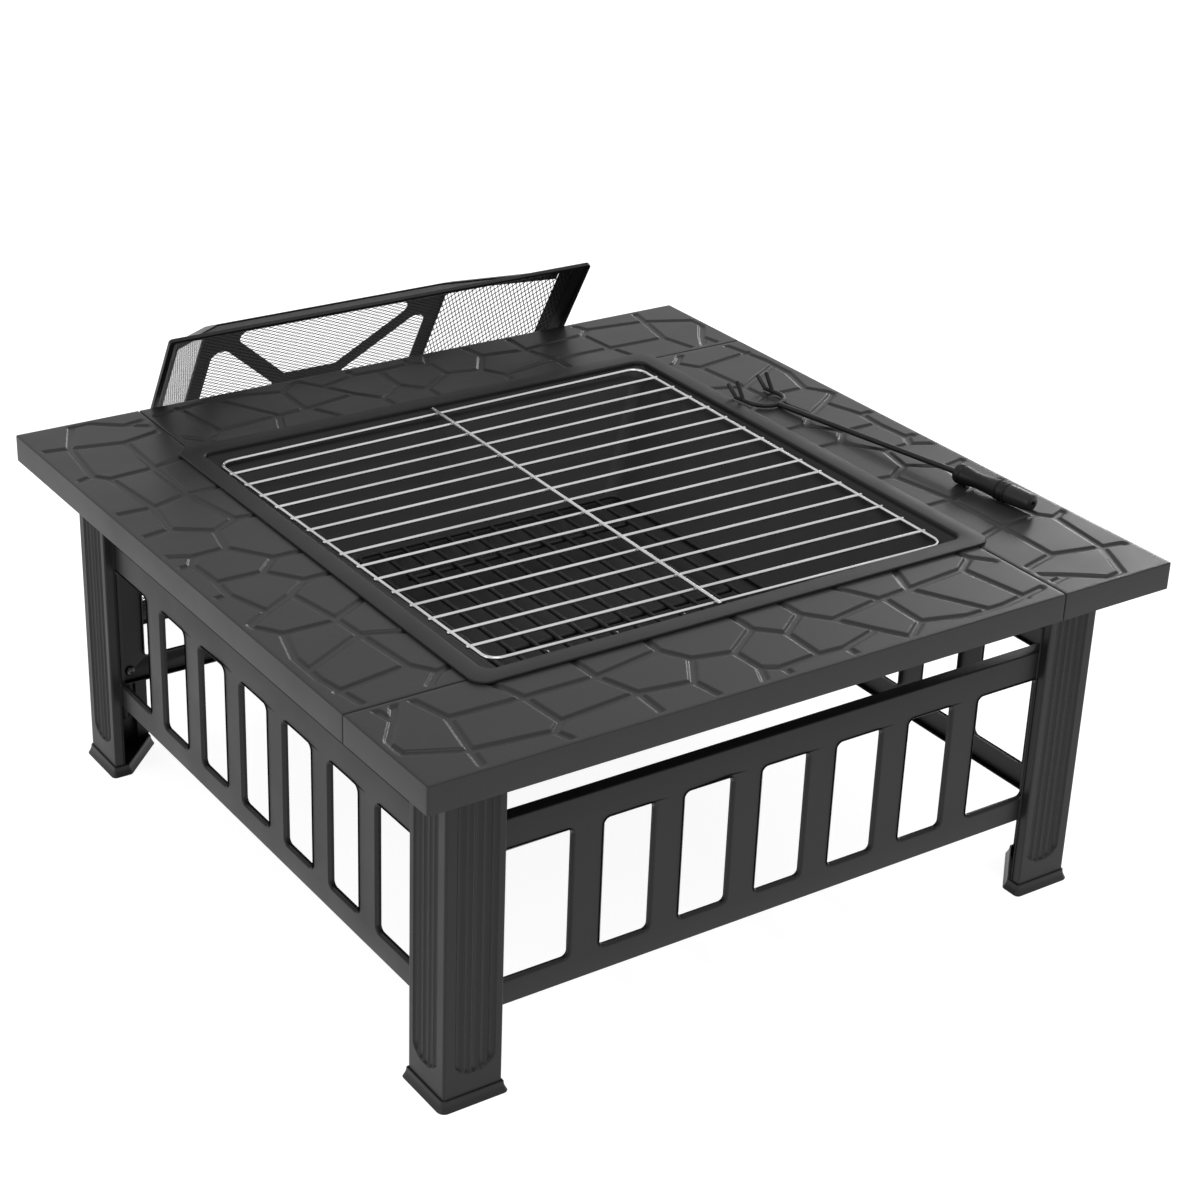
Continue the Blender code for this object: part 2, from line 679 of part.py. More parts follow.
def charcoal_grate(look):
    """A wire frame with bars along it and two short ties underneath, low in the bowl."""
    places = bar_places(GRATE_BAR_COUNT, GRATE_BAR_PITCH)
    half_x = places[-1]
    half_y = half_x - GRATE_END_GAP
    height = bowl_wall_height(half_x) + bowl_wall_lift(GRATE_WIRE)
    frame = wire_loop("charcoal_grate", half_x, half_y, GRATE_CORNER_RADIUS, height, GRATE_WIRE)
    bars = []
    for x in places[1:-1]:
        bars.append(sweep("bar", [(x, -half_y, height), (x, half_y, height)], GRATE_WIRE))
    end = places[-2]
    under = height - GRATE_TIE_LAP
    for y in (-GRATE_TIE_OFFSET, GRATE_TIE_OFFSET):
        bars.append(sweep("tie", [(-end, y, under), (end, y, under)], GRATE_WIRE))
    return finished(combine(frame, bars, "UNION"), look)


# Spark screen, in its own frame: its base on z = 0, its top up


def screen_frame():
    """The empty that carries the screen, leaning on the table's back edge from the ground."""
    lean = math.radians(SCREEN_LEAN)
    frame = bpy.data.objects.new("spark_screen_frame", None)
    bpy.context.collection.objects.link(frame)
    z = SCREEN_SIDE / 2 * math.cos(lean) + SCREEN_HEM * math.sin(lean)
    above_edge = (TABLE_HEIGHT - z) * math.sin(lean)
    y = HALF + (above_edge + SCREEN_HEM + CLEARANCE) / math.cos(lean)
    frame.location = (SCREEN_X, y, z)
    frame.rotation_euler = (lean - math.pi / 2, 0, 0)
    return frame


def face_half(height):
    """Distance of the screen's sloping faces from its middle at a height."""
    return SCREEN_FACE_HALF - height / math.tan(SCREEN_SLOPE)


def screen_skirt_top():
    return SCREEN_SKIRT * math.sin(SCREEN_SLOPE)


def screen_base_ring(look, frame):
    """A square ring: sloping skirt, flat flange and a hem turned down."""
    outer = SCREEN_SIDE / 2
    top = screen_skirt_top()
    skin = [(face_half(top), top), (SCREEN_FACE_HALF, 0), (outer, 0), (outer, -SCREEN_HEM)]
    section = sheet_section(skin, SCREEN_SHEET)
    rings = [square_ring(half, SCREEN_CORNER_RADIUS, height) for half, height in section]
    return finished(loft("screen_base_ring", rings, closed=True), look, 0, frame)


def screen_post(corner, turn, look, frame):
    """An angle along one hip of the screen, from the base ring up to the top plate."""
    hip_angle = math.atan2(SCREEN_HEIGHT / math.sin(SCREEN_SLOPE), SCREEN_FACE_INSET)
    flange = SCREEN_POST_FLANGE / math.sin(hip_angle)
    sheet = SCREEN_SHEET / math.sin(SCREEN_SLOPE)
    rings = []
    for height in (screen_skirt_top() + CLEARANCE, SCREEN_UNDER_TOP):
        h = face_half(height)
        section = [
            (h, h),
            (h - flange, h),
            (h - flange, h - sheet),
            (h - sheet, h - sheet),
            (h - sheet, h - flange),
            (h, h - flange),
        ]
        rings.append([(-x, -y, height) for x, y in section])
    return finished(loft("screen_post_" + corner, rings), look, turn, frame)


def mesh_inner_half(height):
    """Distance of the side meshes' inner skin from the screen's middle at a height."""
    depth = SCREEN_SHEET + CLEARANCE + SCREEN_MESH
    return face_half(height) - depth / math.sin(SCREEN_SLOPE)


def screen_side_mesh(side, turn, look, frame):
    """A sheet of mesh behind one sloping face, its edges behind the posts and the ring."""
    rings = []
    for height in (screen_skirt_top() - SCREEN_MESH_LAP, SCREEN_UNDER_TOP):
        inner = mesh_inner_half(height)
        outer = inner + SCREEN_MESH / math.sin(SCREEN_SLOPE)
        end = inner - CLEARANCE
        corners = [(-end, -outer), (end, -outer), (end, -inner), (-end, -inner)]
        rings.append([(x, y, height) for x, y in corners])
    return finished(loft("screen_mesh_" + side, rings), look, turn, frame)


def screen_top_plate(look, frame):
    """A square plate with four windows, which leave a border, a hub and four diagonal arms."""
    half = SCREEN_TOP_SIDE / 2
    outer = half - SCREEN_TOP_BORDER
    inner = SCREEN_HUB / 2
    beside_arm = SCREEN_ARM / math.sqrt(2)
    window = [
        (inner, beside_arm - inner),
        (outer, beside_arm - outer),
        (outer, outer - beside_arm),
        (inner, inner - beside_arm),
    ]
    radii = [SCREEN_HUB_RADIUS, SCREEN_WINDOW_RADIUS, SCREEN_WINDOW_RADIUS, SCREEN_HUB_RADIUS]
    window = rounded(window, radii)
    windows = []
    for turn in range(4):
        around = Matrix.Rotation(turn * math.pi / 2, 2)
        windows.append([tuple(around @ Vector(point)) for point in window])
    outline = rectangle((-half, -half), (half, half), [SCREEN_CORNER_RADIUS] * 4)
    plate = prism("screen_top_plate", outline, SCREEN_HEIGHT - SCREEN_SHEET, SCREEN_HEIGHT, windows)
    combine(plate, [bolt_hole((0, 0, SCREEN_HEIGHT), (0, 0, 1), 4 * SCREEN_SHEET)], "DIFFERENCE")
    return finished(plate, look, 0, frame)


def screen_top_mesh(look, frame):
    """A square sheet of mesh under the top plate."""
    bottom = SCREEN_UNDER_TOP - SCREEN_MESH
    half = mesh_inner_half(SCREEN_UNDER_TOP) - CLEARANCE
    mesh = box("screen_mesh_top", (-half, -half, bottom), (half, half, SCREEN_UNDER_TOP))
    combine(mesh, [bolt_hole((0, 0, bottom), (0, 0, 1), 4 * SCREEN_MESH)], "DIFFERENCE")
    return finished(mesh, look, 0, frame)


def screen_knob(look, frame):
    """A turned knob on a neck, with a blind bore for its screw."""
    bore = KNOB_SCREW / 2 + HOLE_MARGIN
    neck = KNOB_NECK / 2
    wide = KNOB_DIAMETER / 2
    dome = KNOB_HEIGHT - KNOB_NECK_HEIGHT
    foot_height = SCREEN_HEIGHT + CLEARANCE
    profile = [
        (bore, foot_height + KNOB_BORE_DEPTH),
        (bore, foot_height),
        (neck * KNOB_NECK_FOOT, foot_height),
    ]
    profile += [(neck, foot_height + KNOB_NECK_HEIGHT * share) for share in KNOB_NECK_STRAIGHT]
    profile.append((wide * KNOB_UNDERSIDE, foot_height + KNOB_NECK_HEIGHT))
    for share in KNOB_DOME_STEPS:
        angle = share * math.pi / 2
        rise = dome * (KNOB_EDGE + (1 - KNOB_EDGE) * math.sin(angle))
        profile.append((wide * math.cos(angle), foot_height + KNOB_NECK_HEIGHT + rise))
    return finished(turned("screen_knob", profile), look, 0, frame)


def screen_knob_screw(look, frame):
    """Goes up through the top mesh and the top plate into the knob."""
    head = BOLT_HEAD_DIAMETER / 2
    shank = KNOB_SCREW / 2
    head_top = SCREEN_UNDER_TOP - SCREEN_MESH - CLEARANCE
    profile = [
        (head * SCREW_HEAD_TOP, head_top - BOLT_HEAD_HEIGHT),
        (head, head_top - BOLT_HEAD_HEIGHT * SCREW_HEAD_EDGE),
        (head, head_top),
        (shank, head_top),
        (shank, SCREEN_HEIGHT + KNOB_BORE_DEPTH - BOLT_TIP),
    ]
    return finished(turned("screen_knob_screw", profile, BOLT_SIDES), look, 0, frame)


# Poker, in its own frame: its rod along +Y from the front of the grip, z = 0 on the tabletop


def poker_frame():
    frame = bpy.data.objects.new("poker_frame", None)
    bpy.context.collection.objects.link(frame)
    frame.location = (RIM_HALF + POKER_FROM_RIM, POKER_Y, TABLE_HEIGHT + CLEARANCE)
    frame.rotation_euler = (0, 0, math.radians(POKER_TURN))
    return frame


def along_y(obj, height):
    """Lay a piece turned about the Z axis along +Y at a height."""
    obj.data.transform(Matrix.Translation((0, 0, height)) @ Matrix.Rotation(-math.pi / 2, 4, "X"))
    return obj


def poker_rod_and_claw(look, frame):
    """A straight rod that splits into two arms, each with two prongs raised from it."""
    axis = GRIP_DIAMETER / 2
    low = POKER_ROD / 2
    root = Vector((0, POKER_ROD_LENGTH, low))
    rod_path = [(0, -POKER_ROD_TAIL, axis), (0, 0, axis), (0, POKER_LEVEL_LENGTH, axis), root]
    rod = sweep("poker_rod_and_claw", rod_path, POKER_ROD)
    wires = []
    for side in (-1, 1):
        arm = []
        for step in range(CORNER_STEPS + 1):
            angle = math.pi / 2 * step / CORNER_STEPS
            x = side * CLAW_WIDTH / 2 * math.sin(angle)
            y = CLAW_SHOULDER * (1 - math.cos(angle))
            arm.append(root + Vector((x, y - JOIN, 0)))
        arm.append(root + Vector((side * CLAW_WIDTH / 2, CLAW_REACH, 0)))
        wires.append(sweep("arm", arm, CLAW_WIRE))
        for place, lean, rise in CLAW_PRONGS:
            base = root + Vector((side * CLAW_WIDTH / 2, place, 0))
            wires.append(sweep("prong", [base, base + Vector((0, lean, rise))], PRONG_WIRE))
    return finished(combine(rod, wires, "UNION"), look, 0, frame)


def poker_grip(look, frame):
    """A waisted grip with two rings at its rear, bored through for the rod."""
    wide = GRIP_DIAMETER / 2
    bore = POKER_ROD / 2 + HOLE_MARGIN
    front_rings = GRIP_LENGTH - 4 * GRIP_RING_WIDTH
    profile = [(bore, 0), (wide * GRIP_FRONT[0], 0), (wide * GRIP_FRONT[1], -GRIP_CHAMFER)]
    for step in range(1, GRIP_STEPS + 1):
        share = step / GRIP_STEPS
        radius = wide - (GRIP_DIAMETER - GRIP_WAIST) / 2 * math.sin(math.pi * share)
        profile.append((radius, -GRIP_CHAMFER - share * (front_rings - GRIP_CHAMFER)))
    for ring in (1, 2):
        start = front_rings + (2 * ring - 1) * GRIP_RING_WIDTH
        profile.append((wide * GRIP_GROOVE, -start + GRIP_RING_WIDTH / 2))
        profile.append((wide * GRIP_RING, -start - GRIP_RING_WIDTH / 2))
    profile += [(wide * GRIP_REAR, -GRIP_LENGTH), (bore, -GRIP_LENGTH)]
    return finished(along_y(turned("poker_grip", profile, closed=True), wide), look, 0, frame)


def poker_end_cap(look, frame):
    """A tapered cap behind the grip, with a blind bore for the rod and a hole to hang it by."""
    wide = GRIP_DIAMETER / 2
    narrow = CAP_END_DIAMETER / 2
    front = -GRIP_LENGTH - CLEARANCE
    back = front - CAP_LENGTH
    bore = POKER_ROD / 2 + HOLE_MARGIN
    bore_end = -POKER_ROD_TAIL - CLEARANCE
    profile = [
        (bore, bore_end),
        (bore, front),
    ]
    profile += [(wide * width, front - CAP_LENGTH * along) for width, along in CAP_TAPER]
    profile += [(narrow, back + CAP_CHAMFER), (narrow * CAP_END_FACE, back)]
    cap = along_y(turned("poker_end_cap", profile), wide)
    middle = (bore_end + back) / 2
    path = [(0, middle, -JOIN), (0, middle, GRIP_DIAMETER)]
    combine(cap, [sweep("hang_hole", path, CAP_HOLE, BOLT_SIDES)], "DIFFERENCE")
    return finished(cap, look, 0, frame)


def build_table():
    coat = material("black_powder_coat", (0.040, 0.040, 0.042), 0.45, 0.0)
    stone = material("pressed_top_coat", (0.055, 0.055, 0.058), 0.40, 0.0)
    plastic = material("black_plastic", (0.020, 0.020, 0.021), 0.50, 0.0)
    zinc = material("black_zinc", (0.10, 0.10, 0.11), 0.35, 0.9)
    for turn, side in enumerate(SIDES):
        tabletop_panel(side, turn, stone)
        seam_bolt(side, turn, zinc)
        slatted_panel(side, turn, coat)
        slatted_panel_bolts(side, turn, zinc)
    for turn, corner in enumerate(CORNERS):
        leg(corner, turn, coat)
        leg_bolt(corner, turn, zinc)
        foot(corner, turn, plastic)


def build_fire_parts():
    fire_bowl(material("black_enamel", (0.030, 0.030, 0.032), 0.35, 0.0))
    cooking_grill(material("chrome_wire", (0.75, 0.75, 0.76), 0.20, 1.0))
    charcoal_grate(material("black_wire", (0.025, 0.025, 0.026), 0.50, 0.0))


def build_screen():
    coat = material("screen_coat", (0.025, 0.025, 0.027), 0.45, 0.0)
    mesh = material("screen_mesh", (0.030, 0.030, 0.032), 0.50, 0.0)
    frame = screen_frame()
    screen_base_ring(coat, frame)
    screen_top_plate(coat, frame)
    for turn, corner in enumerate(CORNERS):
        screen_post(corner, turn, coat, frame)
    for turn, side in enumerate(SIDES):
        screen_side_mesh(side, turn, mesh, frame)
    screen_top_mesh(mesh, frame)
    screen_knob(material("knob_black", (0.018, 0.018, 0.019), 0.30, 0.0), frame)
    screen_knob_screw(material("screw_zinc", (0.45, 0.45, 0.46), 0.35, 1.0), frame)


def build_poker():
    frame = poker_frame()
    poker_rod_and_claw(material("poker_coat", (0.030, 0.030, 0.032), 0.45, 0.0), frame)
    poker_grip(material("grip_rubber", (0.045, 0.045, 0.047), 0.55, 0.0), frame)
    poker_end_cap(material("cap_plastic", (0.050, 0.050, 0.053), 0.45, 0.0), frame)


clear_scene()
build_table()
build_fire_parts()
build_screen()
build_poker()
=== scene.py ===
"""Looks of the square fire pit table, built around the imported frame.

Metres, +Z up. Every side is shaped as the front one (-Y) and every corner as the front left
one, then turned by quarter turns, as in the frame.
"""

import json
import math

import bmesh
import bpy
import numpy as np
from mathutils import Matrix, Vector, geometry

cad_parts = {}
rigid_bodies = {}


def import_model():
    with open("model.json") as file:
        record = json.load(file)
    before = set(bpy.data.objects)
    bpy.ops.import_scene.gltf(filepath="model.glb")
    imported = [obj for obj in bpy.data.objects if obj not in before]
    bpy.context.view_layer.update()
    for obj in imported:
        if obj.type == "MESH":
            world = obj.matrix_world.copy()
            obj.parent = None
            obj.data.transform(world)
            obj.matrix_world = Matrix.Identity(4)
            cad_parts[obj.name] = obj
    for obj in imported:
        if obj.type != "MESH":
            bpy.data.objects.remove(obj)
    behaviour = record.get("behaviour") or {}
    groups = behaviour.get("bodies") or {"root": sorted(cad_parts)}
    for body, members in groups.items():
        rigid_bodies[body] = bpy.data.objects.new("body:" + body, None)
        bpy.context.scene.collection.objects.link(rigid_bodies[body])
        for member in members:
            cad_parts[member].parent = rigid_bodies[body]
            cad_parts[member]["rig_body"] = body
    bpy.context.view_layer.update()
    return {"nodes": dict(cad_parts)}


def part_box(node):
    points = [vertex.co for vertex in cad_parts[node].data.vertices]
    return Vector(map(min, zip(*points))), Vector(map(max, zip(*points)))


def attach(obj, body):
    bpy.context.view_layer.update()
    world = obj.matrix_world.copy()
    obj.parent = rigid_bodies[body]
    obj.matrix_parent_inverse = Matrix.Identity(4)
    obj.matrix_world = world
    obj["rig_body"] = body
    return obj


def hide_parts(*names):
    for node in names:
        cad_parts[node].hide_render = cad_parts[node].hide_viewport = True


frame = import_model()

SIDES = ("front", "right", "back", "left")
CORNERS = ("front_left", "front_right", "back_right", "back_left")
CLEARANCE = 0.0003
TINY = 0.0001  # radius of a point that closes a turned piece or a pan

# Camera: a long lens, a little rolled
CAMERA_PLACE = (-1.2794, -1.8650, 1.3607)
CAMERA_TARGET = (0.0797, 0.0609, 0.2000)
CAMERA_ROLL = 2.276
CAMERA_LENS = 76.3
SENSOR = 36.0

# Tabletop: pressed stones with channels between them
TOP_SHEET = 0.0015
SEAM_FLANGE = 0.020
TOP_FOLD = 0.0012
SKIRT_CORNER_RADIUS = 0.0022
SEAM_CORNER_RADIUS = 0.0008
TOP_BAND = 0.0045
TOP_CELL = 0.00104
CHANNEL_FLOOR_HALF = 0.0022
CHANNEL_WALL = 0.0027
CHANNEL_DEPTH = 0.0018
CHANNEL_RUNOUT = 0.005
BOSS_RADIUS = 0.007

# Middle lines of the front panel's channels, in millimetres from the table's centre
STONE_CHANNELS = (
    ((-352, -262), (-375, -300), (-398, -331), (-396, -349), (-346, -372)),
    ((-382, -262), (-375, -300)),
    ((-348, -262), (-334, -318), (-262, -320), (-190, -320), (-117, -307)),
    ((-334, -318), (-346, -372), (-353, -412)),
    ((-346, -372), (-272, -381), (-258, -369), (-176, -361)),
    ((-272, -381), (-261, -412)),
    ((-279, -262), (-262, -320), (-258, -369)),
    ((-191, -262), (-190, -320), (-176, -361), (-124, -369)),
    ((-111, -262), (-117, -307), (-101, -334), (-62, -343)),
    ((-176, -361), (-178, -412)),
    ((-101, -334), (-124, -369), (-117, -412)),
    ((-62, -343), (-22, -315), (0, -337), (33, -313), (53, -337), (115, -326)),
    ((-62, -343), (-60, -377), (-45, -386), (-3, -383), (27, -385), (73, -371)),
    ((-60, -377), (-77, -412)),
    ((-43, -386), (-43, -412)),
    ((-22, -262), (-22, -315)),
    ((0, -337), (-1, -383)),
    ((31, -262), (33, -313)),
    ((28, -385), (29, -412)),
    ((53, -337), (73, -371), (91, -398), (118, -379)),
    ((80, -262), (115, -326), (151, -323), (186, -388)),
    ((119, -326), (118, -379), (163, -392), (207, -392), (269, -381)),
    ((176, -262), (151, -323), (222, -316), (245, -300)),
    ((222, -316), (234, -390)),
    ((235, -262), (245, -300), (262, -318)),
)

# Legs: two faces with a sunk band of flutes, a return and a lip at each end
LEG_FACE = 0.059
LEG_RETURN = 0.0102
LEG_SHEET = 0.0012
LEG_CORNER_RADIUS = 0.0025
LEG_FOLD = 0.0016
LEG_CELL = 0.0007
LEG_ROW = 0.0013
LEG_PLATE_NARROW = 0.016
FLUTE_START = 0.011
FLUTE_END = 0.052
FLUTE_COUNT = 5
FLUTE_SINK = 0.0005
FLUTE_DEPTH = 0.0018
FLUTE_EDGE = 0.0012
FLUTE_LOW = 0.031
FLUTE_ARCH = 0.015
FLUTE_TOP = 0.338
FLUTE_PLAIN_LOW = 0.08
FLUTE_PLAIN_HIGH = 0.32
FLUTE_PLAIN_ROWS = 7

# Feet
FOOT_WALL = 0.0015
FOOT_FLARE = 0.0034
FOOT_EDGE = 0.0009
FOOT_FLOOR = 0.003
FOOT_NARROW = 0.014
FOOT_SHARP_RADIUS = 0.0004
FOOT_CORNER_STEPS = 6
FOOT_SWEEP_STEPS = 6
FOOT_EDGE_SHARES = (0.3, 0.8)

# Slatted panels
SLATTED_SHEET = 0.0012
SLATTED_FOLD = 0.0015
RAIL_BOTTOM = 0.0245
RAIL_TOP = 0.029
SLAT_WIDTH = 0.030
SLAT_COUNT = 6
SLAT_PITCH = 0.085
WINDOW_RADIUS = 0.007
WINDOW_END = 0.304
WINDOW_LIP = 0.005
BOTTOM_FLANGE = 0.008
TOP_FLANGE = 0.014

# Bolts and screws
BOLT_RADIUS = 0.003
BOLT_HEAD_RADIUS = 0.00575
BOLT_HEAD_HEIGHT = 0.0035
BOLT_SOCKET_RADIUS = 0.002
BOLT_SOCKET_DEPTH = 0.0016
BOLT_SOCKET_EDGE = 0.97  # share of the head's height
BOLT_DOME_START = 22
BOLT_DOME_STEPS = 7
BOLT_TIP = 0.0006
BOLT_SIDES = 24

# Fire bowl
BOWL_SHEET = 0.0012
BOWL_RIM = 0.0205
BOWL_RIM_RADIUS = 0.016
BOWL_WALL_RADIUS = 0.012
BOWL_DROP = 0.0057
BOWL_SLOPE_HALF = 0.157
BOWL_FLOOR_HALF = 0.130
BOWL_SLOPE_RISE = 0.018
BOWL_BENDS = (0.005, 0.005, 0.003, 0.0022)
BOWL_FLAT_MARGIN = 0.03
BOWL_MIDDLE = 0.0005
BOWL_SMALLEST = 0.0004
BOWL_ROUNDEST = 0.9  # largest corner radius, as a share of the half width
RIM_FOLD = 0.001
RIM_EDGE = 0.0024
DRAIN_RADIUS = 0.00375
DRAIN_PITCH = 0.080
DRAIN_OFF_CENTRE = 0.001
DRAIN_CUT = 0.006
DRAIN_SIDES = 24

# Grill and charcoal grate
GRILL_WIRE = 0.0036
GRILL_BAR_END = 0.003
GRILL_FRAME_INSET = 0.005
GRILL_TIE_STEPS = 8
GRILL_CORNER_RADIUS = 0.014
GRILL_BARS = 15
GRILL_TIE_LAP = 0.0031
GRILL_FRONT_LEFT_LIFT = 0.009
GRILL_BACK_RIGHT_LIFT = 0.006
GRILL_TIE_FRONT = -0.017
GRILL_TIE_BACK = -0.002
GRATE_WIRE = 0.0045
GRATE_CORNER_RADIUS = 0.008
GRATE_BARS = 13
GRATE_TIE_OFFSET = 0.090
GRATE_TIE_LAP = 0.0038

# Spark screen, in its own frame: base on z = 0, top up
SCREEN_SIDE = 0.512
SCREEN_HEIGHT = 0.089
SCREEN_TOP_SIDE = 0.306
SCREEN_SHEET = 0.0012
SCREEN_MESH = 0.0012
SCREEN_FLANGE = 0.008
SCREEN_HEM = 0.005
SCREEN_SKIRT = 0.020
SCREEN_FOLD = 0.0014
SCREEN_CORNER_RADIUS = 0.004
SCREEN_TOP_BORDER = 0.018
SCREEN_ARM = 0.018
SCREEN_HUB = 0.090
SCREEN_WINDOW_RADIUS = 0.012
SCREEN_HUB_RADIUS = SCREEN_WINDOW_RADIUS / 3
SCREEN_SOFT_EDGE = 0.0004
SCREEN_MESH_LAP = 0.010
SCREEN_LEAN = 29.5
SCREEN_X = 0.002
DIAMOND_LONG = 0.010
DIAMOND_SHORT = 0.005
STRAND = 0.0016
STRAND_FLATTENING = 0.25

# Knob
KNOB_RADIUS = 0.019
KNOB_NECK_RADIUS = 0.0085
KNOB_HEIGHT = 0.028
KNOB_NECK_HEIGHT = 0.010
KNOB_FLARE = 0.25
KNOB_NECK_STEPS = 6
KNOB_NECK_START = 0.1
KNOB_NECK_SPAN = 0.75
KNOB_WIDEST_ABOVE_NECK = 0.004
KNOB_UNDERSIDE = 0.006
KNOB_UNDERSIDE_STEPS = 3
KNOB_DOME_STEPS = 8
KNOB_TOP_RADIUS = 0.0003

# Poker, in its own frame: rod along +Y from the front of the grip
POKER_FROM_RIM = 0.0663
POKER_Y = -0.1602
POKER_TURN = 7.8
POKER_ROD = 0.006
POKER_ROD_LENGTH = 0.250
POKER_ROD_TAIL = 0.020
POKER_BEND = ((0.004, 0), (0.010, 0.0003), (0.018, 0.0005))  # places along it and drops there
CLAW_WIRE = 0.0048
CLAW_WIDTH = 0.044
CLAW_SHOULDER = 0.022
CLAW_REACH = 0.042
CLAW_ARM_STEPS = 12
CLAW_JOIN = 0.0005
PRONG_WIRE = CLAW_WIRE * 0.95
CLAW_PRONGS = ((0.030, 0.011, 0.018), (0.041, 0.0125, 0.011))
GRIP_LENGTH = 0.0655
GRIP_RADIUS = 0.01025
GRIP_WAIST_RADIUS = 0.0079
GRIP_BORE_DEPTH = 0.001
GRIP_RING = 0.003
GRIP_WAIST_START = 0.009
GRIP_WAIST_STEPS = 14
GRIP_REAR = 0.9  # share of its radius
# Profiles as shares of the grip's radius, with distances back from its front or shares of a ring
GRIP_COLLAR = ((0.78, 0), (0.92, 0.0006), (1, 0.0022), (1, 0.006), (0.9, 0.0075))
GRIP_RING_PROFILE = ((0.88, 0.3), (0.88, 0.7), (1, 1), (1, 1.7))
CAP_LENGTH = 0.030
CAP_END_RADIUS = 0.0086
CAP_HOLE = 0.005
CAP_HOLE_DEPTH = 0.005
CAP_HOLE_MIDDLE = 0.0002
CAP_FRONT = ((0.5, 0), (0.93, 0), (0.97, 0.001))
CAP_FRONT_RADIUS = GRIP_RADIUS * 0.97
CAP_TAPER_START = 0.0012
CAP_TAPER_LENGTH = CAP_LENGTH - 0.0042
CAP_TAPER_STEPS = 10
CAP_TAPER_POWER = 1.6
CAP_ROUNDING = ((0.93, 0.0012), (0.75, 0.0002))  # shares of its end's radius, heights above it

SMOOTH_ANGLE = math.radians(38)
CORNER_STEPS = 8
FOLD_STEPS = 4
WIRE_SIDES = 14
ROUND_SIDES = 40
WIRE_END_LENGTH = 0.2  # how far a wire's domed end goes on, as a share of its thickness
WIRE_END_RADIUS = 0.3  # radius there, as a share of its thickness
NEARLY_STRAIGHT = 0.01
MERGE_DISTANCE = 1e-6

# Paint: clouds of duller patches, specks of dust and a fine grain
CLOUD_SCALE = 14
CLOUD_DETAIL = 4
SPECK_SCALE = 420
SPECK_DETAIL = 3
SPECK_RANGE = (0.62, 0.72)
PATCH_SHINIER = 0.05
PATCH_DULLER = 0.06
HAZE = 0.18
HAZE_GAIN = 1.5
HAZE_LIFT = 0.008
GRAIN_STRENGTH = 0.35

# Plating: tarnished and worn places
TARNISH_SCALE = 12
TARNISH_RANGE = (0.35, 0.75)
WEAR_SCALE = 25
WEAR_DETAIL = 3
WEAR_SHINIER = 0.04
WEAR_DULLER = 0.10

# Floor and light: name, strength, spread, azimuth and elevation of each sun
FLOOR_REACH = 40.0
FLOOR_GREY = 0.35
FLOOR_ROUGHNESS = 0.9
FLOOR_SPECULAR = 0.1
FLOOR_GLOW = 0.88
WORLD_STRENGTH = 0.85
SUNS = (("key", 0.8, 15, -12, 66), ("left", 0.35, 25, -90, 18), ("rim", 0.4, 10, 128, 16))


# Mesh tools


def placed(name, data):
    """A new object in the scene."""
    obj = bpy.data.objects.new(name, data)
    bpy.context.scene.collection.objects.link(obj)
    return obj


def smoothed(mesh):
    """Smooth shading, with sharp edges where faces meet at more than a small angle."""
    mesh.shade_smooth()
    mesh.set_sharp_from_angle(angle=SMOOTH_ANGLE)
    return mesh


def applied(obj):
    """Make an object's modifiers part of its mesh."""
    graph = bpy.context.evaluated_depsgraph_get()
    obj.data = bpy.data.meshes.new_from_object(obj.evaluated_get(graph))
    obj.modifiers.clear()
    return obj


def mesh_object(name, points, faces, tidy=True):
    """An object from points and faces. A tidied one has doubles merged and its faces turned out."""
    mesh = bpy.data.meshes.new(name)
    mesh.from_pydata([tuple(point) for point in points], [], faces)
    if tidy:
        shaped = bmesh.new()
        shaped.from_mesh(mesh)
        bmesh.ops.remove_doubles(shaped, verts=shaped.verts, dist=MERGE_DISTANCE)
        bmesh.ops.recalc_face_normals(shaped, faces=shaped.faces)
        shaped.to_mesh(mesh)
        shaped.free()
    return placed(name, smoothed(mesh))


def joined(name, objects):
    """One object that holds the meshes of all of these as separate shells."""
    shaped = bmesh.new()
    for obj in objects:
        shaped.from_mesh(obj.data)
        bpy.data.objects.remove(obj, do_unlink=True)
    mesh = bpy.data.meshes.new(name)
    shaped.to_mesh(mesh)
    shaped.free()
    return placed(name, smoothed(mesh))


def copied(obj, name, matrix):
    """A new object with a transformed copy of the mesh."""
    made = obj.copy()
    made.data = obj.data.copy()
    made.name = name
    made.data.transform(matrix)
    bpy.context.scene.collection.objects.link(made)
    return made


def quarter(turn):
    return Matrix.Rotation(turn * math.pi / 2, 4, "Z")


def shares(steps):
    """Even steps from 0 to 1, with both ends."""
    return [step / steps for step in range(steps + 1)]


def rectangle(x0, y0, x1, y1):
    return [(x0, y0), (x1, y0), (x1, y1), (x0, y1)]


def grid_faces(rows, columns):
    faces = []
    for row in range(rows - 1):
        for column in range(columns - 1):
            a = row * columns + column
            faces.append((a, a + 1, a + columns + 1, a + columns))
    return faces


def loft(name, rings, closed=False, capped=True):
    """Skin between rings of equally many points."""
    size = len(rings[0])
    points = [point for ring in rings for point in ring]
    faces = []
    for i in range(len(rings) if closed else len(rings) - 1):
        near = i * size
        far = (i + 1) % len(rings) * size
        for j in range(size):
            k = (j + 1) % size
            faces.append((near + j, near + k, far + k, far + j))
    if capped and not closed:
        faces.append(tuple(range(size)))
        faces.append(tuple(range(len(points) - size, len(points))))
    return mesh_object(name, points, faces)


def turned(name, profile, sides=ROUND_SIDES, closed=False):
    """A round piece about +Z from a profile of (radius, height) points."""
    rings = []
    for radius, height in profile:
        angles = [2 * math.pi * i / sides for i in range(sides)]
        rings.append([(radius * math.cos(a), radius * math.sin(a), height) for a in angles])
    return loft(name, rings, closed)


